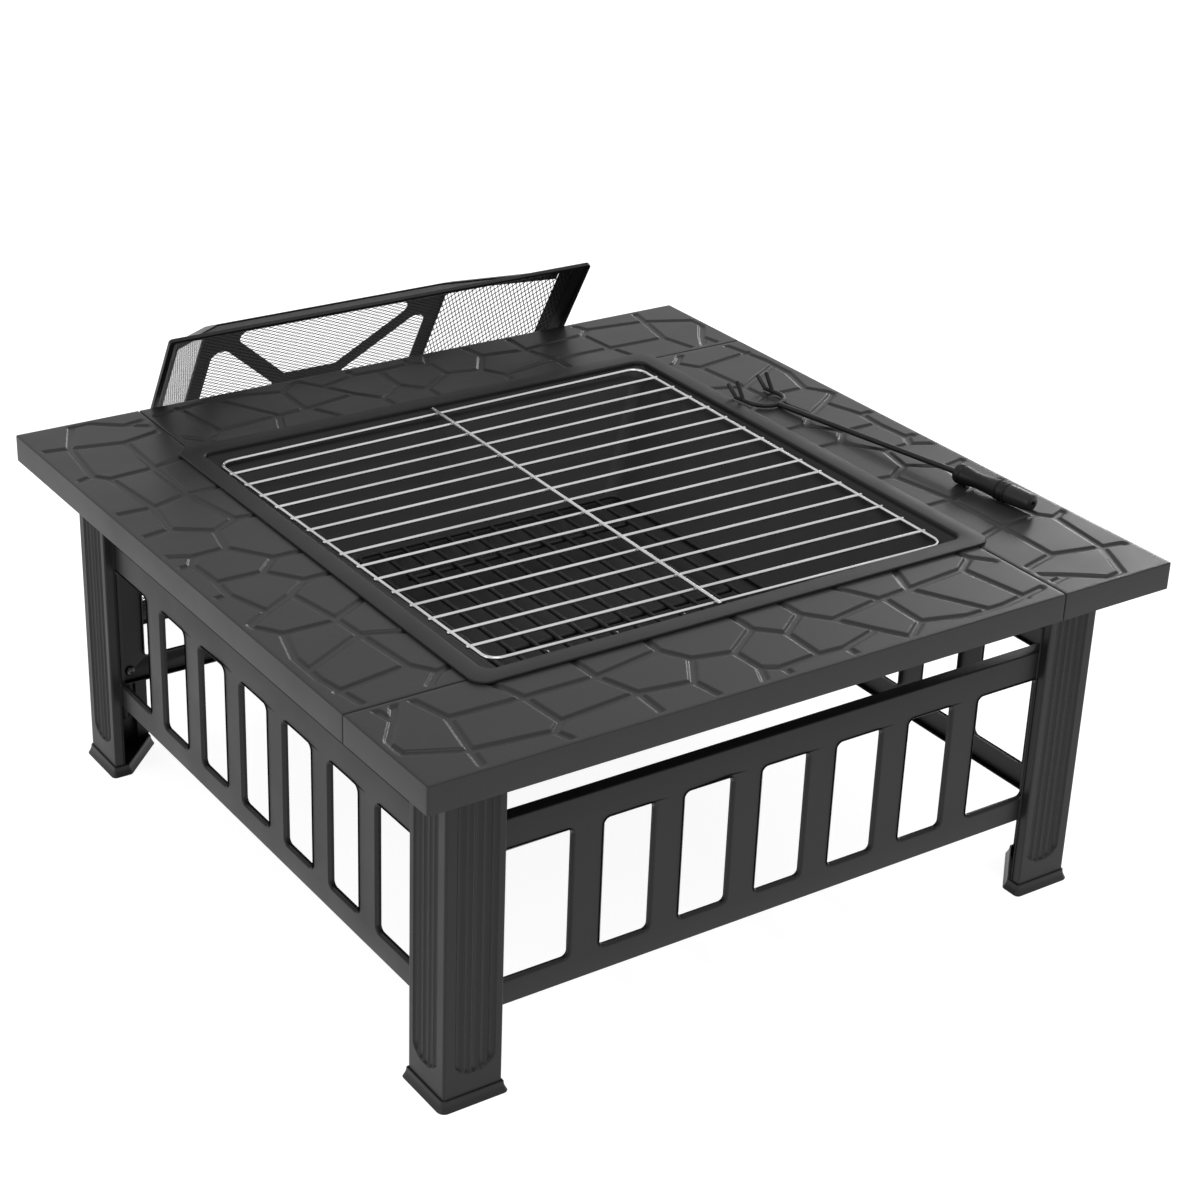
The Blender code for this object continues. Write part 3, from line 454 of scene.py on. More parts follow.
def tube(name, path, diameter, closed=False, sides=WIRE_SIDES, domed=True):
    """A round wire along a path, its free ends domed."""
    path = [Vector(point) for point in path]
    radii = [diameter / 2] * len(path)
    if domed and not closed:
        first = (path[0] - path[1]).normalized() * diameter * WIRE_END_LENGTH
        last = (path[-1] - path[-2]).normalized() * diameter * WIRE_END_LENGTH
        path = [path[0] + first] + path + [path[-1] + last]
        radii = [diameter * WIRE_END_RADIUS] + radii + [diameter * WIRE_END_RADIUS]
    rings = []
    across = None
    for i, here in enumerate(path):
        before = path[i - 1] if closed or i > 0 else here
        after = path[(i + 1) % len(path)] if closed or i < len(path) - 1 else here
        along = (after - before).normalized()
        if across is None:
            across = along.orthogonal()
        across = (across - along * across.dot(along)).normalized()
        upright = along.cross(across)
        ring = []
        for j in range(sides):
            angle = 2 * math.pi * j / sides
            way = math.cos(angle) * across + math.sin(angle) * upright
            ring.append(here + way * radii[i])
        rings.append(ring)
    return loft(name, rings, closed)


def arc_corner(before, here, after, radius, steps):
    """The points of the arc that replaces the corner at here, in a plane."""
    before, here, after = Vector(before), Vector(here), Vector(after)
    back = (before - here).normalized()
    on = (after - here).normalized()
    half_angle = back.angle(on) / 2
    if radius <= 0 or half_angle > math.pi / 2 - NEARLY_STRAIGHT:
        return [tuple(here)]
    reach = radius / math.tan(half_angle)
    centre = here + (back + on).normalized() * radius / math.sin(half_angle)
    first = here + back * reach - centre
    last = here + on * reach - centre
    swing = first.angle_signed(last)
    spokes = [Matrix.Rotation(-swing * step / steps, 2) @ first for step in range(steps + 1)]
    return [tuple(centre + spoke) for spoke in spokes]


def rounded(corners, radii, steps=CORNER_STEPS):
    """A closed outline with each corner replaced by an arc of its radius."""
    points = []
    for i, corner in enumerate(corners):
        after = corners[(i + 1) % len(corners)]
        points += arc_corner(corners[i - 1], corner, after, radii[i], steps)
    return points


def filleted(path, radius, steps=FOLD_STEPS):
    """An open path in a plane with its inner corners rounded."""
    points = [path[0]]
    for before, here, after in zip(path, path[1:], path[2:]):
        points += arc_corner(before, here, after, radius, steps)
    return points + [path[-1]]


def offset_section(path, sheet):
    """The section of a folded sheet whose skin follows the path, with the sheet to its right."""
    path = [Vector(point) for point in path]
    far_side = []
    for i, here in enumerate(path):
        ways = []
        if i > 0:
            ways.append((here - path[i - 1]).normalized())
        if i < len(path) - 1:
            ways.append((path[i + 1] - here).normalized())
        rights = [Vector((way.y, -way.x)) for way in ways]
        middle = sum(rights, Vector((0, 0))).normalized()
        far_side.append(here + middle * sheet / middle.dot(rights[0]))
    return [tuple(point) for point in path + far_side[::-1]]


def square_ring(half, radius, height):
    corners = rectangle(-half, -half, half, half)
    return [(x, y, height) for x, y in rounded(corners, [radius] * 4)]


def thickened(obj, sheet):
    """Give an open sheet its thickness, behind its faces."""
    change = obj.modifiers.new("sheet", "SOLIDIFY")
    change.thickness = sheet
    change.offset = -1
    change.use_even_offset = True
    smoothed(applied(obj).data)
    return obj


def smooth_step(share):
    share = np.clip(share, 0, 1)
    return share * share * (3 - 2 * share)


# Materials


def principled(name, colour, roughness, metallic=0.0, specular=0.5):
    made = bpy.data.materials.new(name)
    made.use_nodes = True
    shader = made.node_tree.nodes["Principled BSDF"]
    shader.inputs["Base Color"].default_value = (*colour, 1)
    shader.inputs["Roughness"].default_value = roughness
    shader.inputs["Metallic"].default_value = metallic
    shader.inputs["Specular IOR Level"].default_value = specular
    return made, shader


def noise(tree, coordinates, scale, detail=2.0):
    node = tree.nodes.new("ShaderNodeTexNoise")
    node.inputs["Scale"].default_value = scale
    node.inputs["Detail"].default_value = detail
    tree.links.new(coordinates, node.inputs["Vector"])
    return node.outputs["Fac"]


def ranged(tree, value, low, high, source_low=0.3, source_high=0.7):
    node = tree.nodes.new("ShaderNodeMapRange")
    node.inputs["From Min"].default_value = source_low
    node.inputs["From Max"].default_value = source_high
    node.inputs["To Min"].default_value = low
    node.inputs["To Max"].default_value = high
    tree.links.new(value, node.inputs["Value"])
    return node.outputs["Result"]


def tinted(tree, share, dark, light, socket):
    """Mix two colours by a value, into a colour socket."""
    node = tree.nodes.new("ShaderNodeMix")
    node.data_type = "RGBA"
    node.inputs["A"].default_value = (*dark, 1)
    node.inputs["B"].default_value = (*light, 1)
    tree.links.new(share, node.inputs["Factor"])
    tree.links.new(node.outputs["Result"], socket)


def painted(name, colour, roughness, grain=1400, grain_depth=0.00004, dust=0.0, specular=0.24):
    """Sprayed black paint: orange-peel grain, patches a little duller than others, some dust."""
    made, shader = principled(name, colour, roughness, specular=specular)
    tree = made.node_tree
    coordinates = tree.nodes.new("ShaderNodeTexCoord").outputs["Object"]
    cloud = noise(tree, coordinates, CLOUD_SCALE, CLOUD_DETAIL)
    patches = ranged(tree, cloud, roughness - PATCH_SHINIER, roughness + PATCH_DULLER)
    tree.links.new(patches, shader.inputs["Roughness"])
    fine = noise(tree, coordinates, SPECK_SCALE, SPECK_DETAIL)
    specks = ranged(tree, fine, 0, dust, *SPECK_RANGE)
    haze = ranged(tree, cloud, 0, HAZE)
    total = tree.nodes.new("ShaderNodeMath")
    total.operation = "ADD"
    tree.links.new(specks, total.inputs[0])
    tree.links.new(haze, total.inputs[1])
    light = [channel * HAZE_GAIN + HAZE_LIFT for channel in colour]
    tinted(tree, total.outputs["Value"], colour, light, shader.inputs["Base Color"])
    bump = tree.nodes.new("ShaderNodeBump")
    bump.inputs["Strength"].default_value = GRAIN_STRENGTH
    bump.inputs["Distance"].default_value = grain_depth
    tree.links.new(noise(tree, coordinates, grain), bump.inputs["Height"])
    tree.links.new(bump.outputs["Normal"], shader.inputs["Normal"])
    return made


def plated(name, colour, roughness, dark):
    """Plated wire: bright metal, here and there duller and tarnished."""
    made, shader = principled(name, colour, roughness, metallic=1.0)
    tree = made.node_tree
    coordinates = tree.nodes.new("ShaderNodeTexCoord").outputs["Object"]
    patches = noise(tree, coordinates, TARNISH_SCALE, WEAR_DETAIL)
    tarnish = ranged(tree, patches, 0, 1, *TARNISH_RANGE)
    tinted(tree, tarnish, colour, dark, shader.inputs["Base Color"])
    wear = noise(tree, coordinates, WEAR_SCALE, WEAR_DETAIL)
    worn = ranged(tree, wear, roughness - WEAR_SHINIER, roughness + WEAR_DULLER)
    tree.links.new(worn, shader.inputs["Roughness"])
    return made


def all_looks():
    """Every look, by the name of its material slot."""
    return {
        "pressed_top_coat": painted("pressed_top_coat", (0.017, 0.017, 0.018), 0.37, dust=0.5),
        "black_powder_coat": painted("black_powder_coat", (0.010, 0.010, 0.011), 0.42, dust=0.25),
        "black_plastic": painted("black_plastic", (0.011, 0.011, 0.0118), 0.36, 700, 0.00008),
        "black_zinc": plated("black_zinc", (0.10, 0.10, 0.11), 0.34, (0.05, 0.05, 0.055)),
        "black_enamel": painted("black_enamel", (0.007, 0.007, 0.0075), 0.44, dust=0.3),
        "chrome_wire": plated("chrome_wire", (0.72, 0.72, 0.73), 0.24, (0.58, 0.58, 0.59)),
        "black_wire": painted("black_wire", (0.008, 0.008, 0.0085), 0.48),
        "screen_coat": painted("screen_coat", (0.007, 0.007, 0.0075), 0.42, dust=0.2),
        "screen_mesh": painted("screen_mesh", (0.008, 0.008, 0.0085), 0.42, 900, 0.00006),
        "knob_black": painted("knob_black", (0.006, 0.006, 0.0065), 0.26, 500),
        "screw_zinc": plated("screw_zinc", (0.45, 0.45, 0.46), 0.32, (0.3, 0.3, 0.31)),
        "poker_coat": painted("poker_coat", (0.008, 0.008, 0.0085), 0.38),
        "grip_rubber": painted("grip_rubber", (0.005, 0.005, 0.0054), 0.46, 1000, 0.0001, 0.4),
        "cap_plastic": painted("cap_plastic", (0.013, 0.013, 0.014), 0.36, 800, 0.00008),
    }


LOOKS = all_looks()


def stand_for(piece, node, slot):
    """The piece takes the node's place on its body, with the look of a material slot."""
    piece.data.materials.clear()
    piece.data.materials.append(LOOKS[slot])
    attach(piece, frame["nodes"][node]["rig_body"])
    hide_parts(node)
    return piece


def stand_all(place, *pieces):
    """Pieces moved into place, each for its node and with its look."""
    for piece, node, slot in pieces:
        piece.data.transform(place)
        stand_for(piece, node, slot)


def repeated(places, *kinds):
    """Copies of pieces by quarter turns, each for the node of its side or corner."""
    for turn, place in enumerate(places):
        for obj, name, node, slot in kinds:
            stand_for(copied(obj, name + place, quarter(turn)), node + place, slot)
    for obj, *rest in kinds:
        bpy.data.objects.remove(obj, do_unlink=True)


# Tabletop


def channel_depth(x, y):
    """How deep the pressing is at each point, from its distance to the nearest channel."""
    nearest = np.full(x.shape, np.inf)
    for line in STONE_CHANNELS:
        ends = np.array(line) / 1000
        for start, end in zip(ends, ends[1:]):
            run = end - start
            along = ((x - start[0]) * run[0] + (y - start[1]) * run[1]) / run.dot(run)
            along = np.clip(along, 0, 1)
            away = np.hypot(x - start[0] - along * run[0], y - start[1] - along * run[1])
            nearest = np.minimum(nearest, away)
    return CHANNEL_DEPTH * (1 - smooth_step((nearest - CHANNEL_FLOOR_HALF) / CHANNEL_WALL))


def border_of(rows, columns):
    """Grid indices round the border of a grid, as four sides without their corners, and corners."""
    last = (rows - 1) * columns
    corners = [0, columns - 1, last + columns - 1, last]
    sides = [
        list(range(1, columns - 1)),
        [row * columns + columns - 1 for row in range(1, rows - 1)],
        [last + column for column in range(columns - 2, 0, -1)],
        [row * columns for row in range(rows - 2, 0, -1)],
    ]
    return sides, corners


def edge_walk(rows, columns, radii):
    """The border as (grid index, spread, way, radius, deep): how each point grows outwards."""
    sides, corners = border_of(rows, columns)
    walk = []
    for side in range(4):
        start = math.pi * (1 + side / 2)
        way_in = Vector((math.cos(start), math.sin(start)))
        way_out = Vector((-way_in.y, way_in.x))
        deep = side != 2
        for share in shares(CORNER_STEPS):
            angle = start + math.pi / 2 * share
            way = Vector((math.cos(angle), math.sin(angle)))
            walk.append((corners[side], way_in + way_out, way, radii[side], deep))
        deep = side in (0, 3)
        for index in sides[side]:
            walk.append((index, way_out, way_out, 0, deep))
    return walk


def pressed_panel():
    """A tray: pressed top, rounded folds, skirts outside and shallower flanges at the seams."""
    low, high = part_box("tabletop_panel_front")
    columns = round((high.x - low.x) / TOP_CELL)
    rows = round((high.y - low.y) / TOP_CELL)
    x, y = np.meshgrid(
        np.linspace(low.x + TOP_BAND, high.x - TOP_BAND, columns),
        np.linspace(low.y + TOP_BAND, high.y - TOP_BAND, rows),
    )
    edge = np.minimum(np.minimum(x - low.x, high.x - x), np.minimum(y - low.y, high.y - y))
    z = high.z - channel_depth(x, y) * smooth_step((edge - TOP_BAND) / CHANNEL_RUNOUT)
    points = np.stack([x, y, z], -1).reshape(-1, 3).tolist()
    faces = grid_faces(rows, columns)

    walk = edge_walk(rows, columns, (SKIRT_CORNER_RADIUS,) + (SEAM_CORNER_RADIUS,) * 3)
    under = high.z - TOP_SHEET - CHANNEL_DEPTH
    levels = []
    for across, down in fold_profile(TOP_FOLD, SEAM_FLANGE)[:-1]:
        levels.append((TOP_FOLD - across, high.z - down, high.z - down))
    levels.append((0, low.z, high.z - SEAM_FLANGE))
    levels.append((TOP_SHEET, low.z, high.z - SEAM_FLANGE))
    levels.append((TOP_SHEET, under, under))
    before = [index for index, *rest in walk]
    for inset, skirt_height, flange_height in levels:
        ring = []
        for index, spread, way, radius, deep in walk:
            reach = max(radius, inset)
            here = Vector(points[index][:2]) + spread * (TOP_BAND - reach) + way * (reach - inset)
            ring.append(len(points))
            points.append((here.x, here.y, skirt_height if deep else flange_height))
        for i in range(len(walk)):
            j = (i + 1) % len(walk)
            face = (before[i], before[j], ring[j], ring[i])
            faces.append(tuple(dict.fromkeys(face)))
        before = ring
    faces.append(tuple(before))
    tray = mesh_object("tray", points, faces)
    boss_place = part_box("leg_bolt_front_left")
    middle = (boss_place[0] + boss_place[1]) / 2
    boss = turned("boss", [(BOSS_RADIUS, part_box("leg_front_left")[1].z + CLEARANCE), (BOSS_RADIUS, under)])
    boss.data.transform(Matrix.Translation((middle.x, middle.y, 0)))
    return joined("pressed_panel", [tray, boss])


# Legs and feet


def flute_depth(along, height):
    """Depth of the sunk fluted band at a distance from the leg's corner and a height."""
    width = FLUTE_END - FLUTE_START
    across = np.clip((along - FLUTE_START) / width * 2 - 1, -1, 1)
    arch = FLUTE_LOW + FLUTE_ARCH * (1 - np.sqrt(1 - across**2))
    inside = np.minimum(along - FLUTE_START, FLUTE_END - along)
    inside = np.minimum(inside, np.minimum(height - arch, FLUTE_TOP - height))
    place = (across + 1) / 2 * FLUTE_COUNT
    in_flute = 2 * (place - np.floor(place)) - 1
    return smooth_step(inside / FLUTE_EDGE) * (FLUTE_SINK + FLUTE_DEPTH * (1 - in_flute**2))


def subdivided(path, step):
    points = []
    for start, end in zip(path, path[1:]):
        count = max(1, round(math.dist(start, end) / step))
        for i in range(count):
            points.append(Vector(start).lerp(Vector(end), i / count))
    return points + [Vector(path[-1])]


def fluted_leg():
    """An angle of folded sheet with flutes pressed into both faces, and a plate on top."""
    low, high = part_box("leg_front_left")
    out = low.x
    face_end = low.x + LEG_FACE
    lip_plane = low.x + LEG_RETURN
    half = [(high.x, lip_plane), (face_end, lip_plane), (face_end, out)]
    folds = filleted(half + [(out, out)], LEG_FOLD)[:-1]
    corner = arc_corner((face_end, out), (out, out), (out, face_end), LEG_CORNER_RADIUS, CORNER_STEPS)
    other = [(y, x) for x, y in folds[::-1]]
    path = np.array(subdivided(folds + corner + other, LEG_CELL))
    arch_rows = np.arange(FLUTE_LOW - 2 * LEG_ROW, FLUTE_LOW + FLUTE_ARCH + 4 * LEG_ROW, LEG_ROW)
    top_rows = np.arange(FLUTE_TOP - 3 * LEG_ROW, FLUTE_TOP + LEG_ROW, LEG_ROW)
    plain_rows = np.linspace(FLUTE_PLAIN_LOW, FLUTE_PLAIN_HIGH, FLUTE_PLAIN_ROWS)
    heights = np.concatenate([[low.z], arch_rows, plain_rows, top_rows, [high.z]])

    x, z = np.meshgrid(path[:, 0], heights)
    y = np.meshgrid(path[:, 1], heights)[0]
    on_front = np.isclose(y, out, atol=MERGE_DISTANCE)
    on_left = np.isclose(x, out, atol=MERGE_DISTANCE)
    sunk_front = np.where(on_front, flute_depth(x - out, z), 0)
    sunk_left = np.where(on_left, flute_depth(y - out, z), 0)
    points = np.stack([x + sunk_left, y + sunk_front, z], -1).reshape(-1, 3).tolist()
    faces = [face[::-1] for face in grid_faces(len(heights), len(path))]
    shell = thickened(mesh_object("shell", points, faces, tidy=False), LEG_SHEET)

    end = face_end - LEG_SHEET
    rim = out + LEG_SHEET / 2
    narrow = out + LEG_PLATE_NARROW
    outline = [(rim, rim), (end, rim), (end, narrow), (narrow, end), (rim, end)]
    plate_rings = [[(px, py, height) for px, py in outline] for height in (high.z - LEG_SHEET, high.z)]
    return joined("fluted_leg", [shell, loft("plate", plate_rings)])


def foot_ring(margin, height):
    """The leg's plan with a margin round it, closed by a cut across its inner corner."""
    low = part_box("leg_front_left")[0].x
    out = low - margin
    end = low + LEG_FACE + margin
    narrow = low + FOOT_NARROW + margin * (math.sqrt(2) - 1)
    corners = [(out, out), (end, out), (end, narrow), (narrow, end), (out, end)]
    radii = [LEG_CORNER_RADIUS + max(margin, 0)] + [max(margin, FOOT_SHARP_RADIUS)] * 4
    return [(x, y, height) for x, y in rounded(corners, radii, FOOT_CORNER_STEPS)]


def flared_foot():
    """A moulded shoe whose wall sweeps out towards the ground."""
    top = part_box("foot_front_left")[1].z
    wall = CLEARANCE + FOOT_WALL
    little, much = FOOT_EDGE_SHARES
    spread = wall + FOOT_FLARE
    places = [(spread - FOOT_EDGE, 0), (spread - FOOT_EDGE * little, FOOT_EDGE * little)]
    for share in shares(FOOT_SWEEP_STEPS):
        height = FOOT_EDGE + (top - FOOT_EDGE * 2) * share
        places.append((wall + FOOT_FLARE * (1 - math.sin(share * math.pi / 2)), height))
    places += [(wall - FOOT_EDGE * little, top - FOOT_EDGE * little), (wall - FOOT_EDGE * much, top)]
    places += [(CLEARANCE, top), (CLEARANCE, FOOT_FLOOR)]
    return loft("flared_foot", [foot_ring(*place) for place in places])


# Slatted panels


def fold_profile(radius, length):
    """(out of the opening, inwards) steps of an edge turned in at a right angle."""
    angles = [math.pi / 2 * share for share in shares(FOLD_STEPS)]
    arc = [(radius * math.sin(angle), radius * (1 - math.cos(angle))) for angle in angles]
    return arc + [(radius, length)]


def slat_windows(low, high):
    """Corners of the openings between the slats."""
    middles = [(i - (SLAT_COUNT - 1) / 2) * SLAT_PITCH for i in range(SLAT_COUNT)]
    starts = [-WINDOW_END] + [x + SLAT_WIDTH / 2 for x in middles]
    ends = [x - SLAT_WIDTH / 2 for x in middles] + [WINDOW_END]
    bottom = low.z + RAIL_BOTTOM
    top = high.z - RAIL_TOP
    return [rectangle(start, bottom, end, top) for start, end in zip(starts, ends)]


def window_outline(corners, grow):
    """A window's rounded outline, grown outwards by so much."""
    (x0, z0), (x1, z1) = corners[0], corners[2]
    grown = rectangle(x0 - grow, z0 - grow, x1 + grow, z1 + grow)
    return rounded(grown, [WINDOW_RADIUS + grow] * 4)


def slatted_sheet():
    """A pierced sheet with every window's edge and both long edges turned in."""
    low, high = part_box("slatted_panel_front")
    windows = slat_windows(low, high)
    fold = SLATTED_FOLD
    border = rectangle(low.x, low.z + fold, high.x, high.z - fold)
    loops = [border] + [window_outline(corners, fold) for corners in windows]
    points = [(x, low.y, z) for loop in loops for x, z in loop]
    flat = [[Vector((x, z, 0)) for x, z in loop] for loop in loops]
    faces = []
    for a, b, c in geometry.tessellate_polygon(flat):
        ahead = (Vector(points[b]) - Vector(points[a])).cross(Vector(points[c]) - Vector(points[a]))
        faces.append((a, b, c) if ahead.y < 0 else (a, c, b))
    start = len(border)
    for corners in windows:
        size = len(window_outline(corners, fold))
        before = list(range(start, start + size))
        start += size
        for across, inwards in fold_profile(fold, WINDOW_LIP)[1:]:
            outline = window_outline(corners, fold - across)
            ring = list(range(len(points), len(points) + size))
            points += [(x, low.y + inwards, z) for x, z in outline]
            for i in range(size):
                j = (i + 1) % size
                faces.append((before[j], before[i], ring[i], ring[j]))
            before = ring
    edges = (((0, 1), -1, BOTTOM_FLANGE), ((2, 3), 1, TOP_FLANGE))
    for (first, second), way, length in edges:
        before = [first, second]
        for across, inwards in fold_profile(fold, length)[1:]:
            ring = [len(points), len(points) + 1]
            for index in (first, second):
                x, y, z = points[index]
                points.append((x, low.y + inwards, z + way * across))
            faces.append((before[1], before[0], ring[0], ring[1]))
            before = ring
    return thickened(mesh_object("slatted_sheet", points, faces, tidy=False), SLATTED_SHEET)


# Bolts


def bolt_like(node, name, direction):
    """A domed bolt with a socket in its head, in the place of a bolt of the frame."""
    low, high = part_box(node)
    direction = Vector(direction)
    length = abs((high - low).dot(direction))
    socket = -BOLT_HEAD_HEIGHT + BOLT_SOCKET_DEPTH
    head = [(TINY, socket), (BOLT_SOCKET_RADIUS, socket)]
    head.append((BOLT_SOCKET_RADIUS, -BOLT_HEAD_HEIGHT * BOLT_SOCKET_EDGE))
    for step in range(1, BOLT_DOME_STEPS + 1):
        angle = math.radians(BOLT_DOME_START + (90 - BOLT_DOME_START) * step / BOLT_DOME_STEPS)
        head.append((BOLT_HEAD_RADIUS * math.sin(angle), -BOLT_HEAD_HEIGHT * math.cos(angle)))
    head.append((BOLT_HEAD_RADIUS, 0))
    shank = [(BOLT_RADIUS, 0), (BOLT_RADIUS, length - BOLT_HEAD_HEIGHT - BOLT_TIP)]
    shank.append((BOLT_RADIUS - BOLT_TIP, length - BOLT_HEAD_HEIGHT))
    obj = turned(name, head + shank, BOLT_SIDES)
    turn = direction.to_track_quat("Z", "Y").to_matrix().to_4x4()
    seat = (low + high) / 2 - direction * (length / 2 - BOLT_HEAD_HEIGHT)
    obj.data.transform(Matrix.Translation(seat) @ turn)
    return obj


def make_bolts():
    bolts = []
    for turn, side in enumerate(SIDES):
        outwards = quarter(turn) @ Vector((0, -1, 0))
        for tail in ("_first_lower", "_first_upper", "_second_lower", "_second_upper"):
            bolts.append(("panel_bolt_" + side + tail, "domed_bolt_" + side + tail, outwards))
        bolts.append(("seam_bolt_" + side, "seam_domed_bolt_" + side, quarter(turn) @ Vector((1, 0, 0))))
    for corner in CORNERS:
        bolts.append(("leg_bolt_" + corner, "leg_domed_bolt_" + corner, (0, 0, 1)))
    for node, name, direction in bolts:
        stand_for(bolt_like(node, name, direction), node, "black_zinc")


# Fire bowl, grill and grate


def pressed_bowl():
    """A square pan with sloping walls, hung by its rim; drain holes in its floor."""
    low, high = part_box("fire_bowl")
    rim_half = high.x
    inner_half = rim_half - BOWL_RIM
    floor = low.z + BOWL_SHEET
    skin = [
        (BOWL_FLOOR_HALF, floor),
        (BOWL_SLOPE_HALF, floor + BOWL_SLOPE_RISE),
        (inner_half, high.z - BOWL_DROP),
        (inner_half, high.z),
        (rim_half, high.z),
    ]
    bends = [(BOWL_FLOOR_HALF - BOWL_FLAT_MARGIN, floor)]
    for before, here, after, radius in zip(bends + skin, skin, skin[1:], BOWL_BENDS):
        bends += arc_corner(before, here, after, radius, FOLD_STEPS)
    bends += arc_corner(skin[3], skin[4], (rim_half, floor), RIM_FOLD, FOLD_STEPS)
    bends.append((rim_half, high.z - RIM_EDGE))
    path = [(BOWL_MIDDLE, floor)] + bends
    rings = []
    for half, height in offset_section(path, BOWL_SHEET):
        on_rim = half > (inner_half + rim_half) / 2
        largest = BOWL_RIM_RADIUS if on_rim else BOWL_WALL_RADIUS
        radius = min(largest, max(half * BOWL_ROUNDEST, TINY))
        rings.append(square_ring(max(half, BOWL_SMALLEST), radius, height))
    bowl = loft("pressed_bowl", rings)
    cutters = []
    for x in (-DRAIN_PITCH, 0, DRAIN_PITCH):
        for y in (-DRAIN_PITCH, 0, DRAIN_PITCH):
            ends = [(x, y + DRAIN_OFF_CENTRE, floor + way * DRAIN_CUT) for way in (-1, 1)]
            cutters.append(tube("drain", ends, 2 * DRAIN_RADIUS, sides=DRAIN_SIDES, domed=False))
    drains = joined("drains", cutters)
    change = bowl.modifiers.new("drains", "BOOLEAN")
    change.operation = "DIFFERENCE"
    change.solver = "EXACT"
    change.object = drains
    smoothed(applied(bowl).data)
    bpy.data.objects.remove(drains, do_unlink=True)
    return bowl


def grill_lift(x, y, half):
    """How far the bent grill stands up at a point: two opposite corners are raised."""
    right = (1 + x / half) / 2
    back = (1 + y / half) / 2
    front_left = GRILL_FRONT_LEFT_LIFT * (1 - right) * (1 - back)
    return front_left + GRILL_BACK_RIGHT_LIFT * right * back


def chrome_grill():
    """Frame, bars across it and one slightly skew tie on top, all a little twisted."""
    low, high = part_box("cooking_grill")
    tie_end = high.y
    half = high.x - GRILL_FRAME_INSET
    height = low.z + GRILL_WIRE / 2
    loop = [(x, y, height + grill_lift(x, y, half)) for x, y, z in square_ring(half, GRILL_CORNER_RADIUS, 0)]
    wires = [tube("loop", loop, GRILL_WIRE, closed=True)]
    for i in range(GRILL_BARS):
        y = 2 * half * ((i + 1) / (GRILL_BARS + 1) - 0.5)
        end = half + GRILL_BAR_END
        ends = [(x, y, height + grill_lift(x, y, half)) for x in (-end, end)]
        wires.append(tube("bar", ends, GRILL_WIRE))
    tie = []
    for share in shares(GRILL_TIE_STEPS):
        x = GRILL_TIE_FRONT + (GRILL_TIE_BACK - GRILL_TIE_FRONT) * share
        y = tie_end * (2 * share - 1)
        tie.append((x, y, height + GRILL_TIE_LAP + grill_lift(x, y, half)))
    wires.append(tube("tie", tie, GRILL_WIRE))
    return joined("chrome_grill", wires)


def black_grate():
    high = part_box("charcoal_grate")[1]
    half_x = high.x - GRATE_WIRE / 2
    half_y = high.y - GRATE_WIRE / 2
    height = high.z - GRATE_WIRE / 2
    corners = rectangle(-half_x, -half_y, half_x, half_y)
    loop = [(x, y, height) for x, y in rounded(corners, [GRATE_CORNER_RADIUS] * 4)]
    wires = [tube("loop", loop, GRATE_WIRE, closed=True)]
    pitch = 2 * half_x / (GRATE_BARS - 1)
    for i in range(1, GRATE_BARS - 1):
        x = -half_x + i * pitch
        wires.append(tube("bar", [(x, -half_y, height), (x, half_y, height)], GRATE_WIRE))
    end = half_x - pitch
    under = height - GRATE_TIE_LAP
    for y in (-GRATE_TIE_OFFSET, GRATE_TIE_OFFSET):
        wires.append(tube("tie", [(-end, y, under), (end, y, under)], GRATE_WIRE))
    return joined("black_grate", wires)


def make_fire_parts():
    stand_for(pressed_bowl(), "fire_bowl", "black_enamel")
    stand_for(chrome_grill(), "cooking_grill", "chrome_wire")
    stand_for(black_grate(), "charcoal_grate", "black_wire")


# Spark screen

SCREEN_FACE_HALF = SCREEN_SIDE / 2 - SCREEN_FLANGE
SCREEN_SLOPE = math.atan2(SCREEN_HEIGHT, SCREEN_FACE_HALF - SCREEN_TOP_SIDE / 2)
SCREEN_UNDER_TOP = SCREEN_HEIGHT - SCREEN_SHEET - CLEARANCE
SCREEN_SKIRT_TOP = SCREEN_SKIRT * math.sin(SCREEN_SLOPE)


def screen_matrix():
    """Where the screen stands: on the ground, leaning on the tabletop's back edge."""
    lean = math.radians(SCREEN_LEAN)
    top_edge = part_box("tabletop_panel_back")[1]
    z = SCREEN_SIDE / 2 * math.cos(lean) + SCREEN_HEM * math.sin(lean)
    above_edge = (top_edge.z - z) * math.sin(lean)
    y = top_edge.y + (above_edge + SCREEN_HEM + CLEARANCE) / math.cos(lean)
    return Matrix.Translation((SCREEN_X, y, z)) @ Matrix.Rotation(lean - math.pi / 2, 4, "X")


def face_half(height):
    return SCREEN_FACE_HALF - height / math.tan(SCREEN_SLOPE)


def folded_ring():
    """The base: sloping skirt, flat flange and a hem turned down, with rounded folds."""
    outer = SCREEN_SIDE / 2
    top = SCREEN_SKIRT_TOP
    skin = [(face_half(top), top), (SCREEN_FACE_HALF, 0), (outer, 0), (outer, -SCREEN_HEM)]
    section = offset_section(filleted(skin, SCREEN_FOLD), SCREEN_SHEET)
    rings = [square_ring(half, SCREEN_CORNER_RADIUS, height) for half, height in section]
    return loft("folded_ring", rings, closed=True)


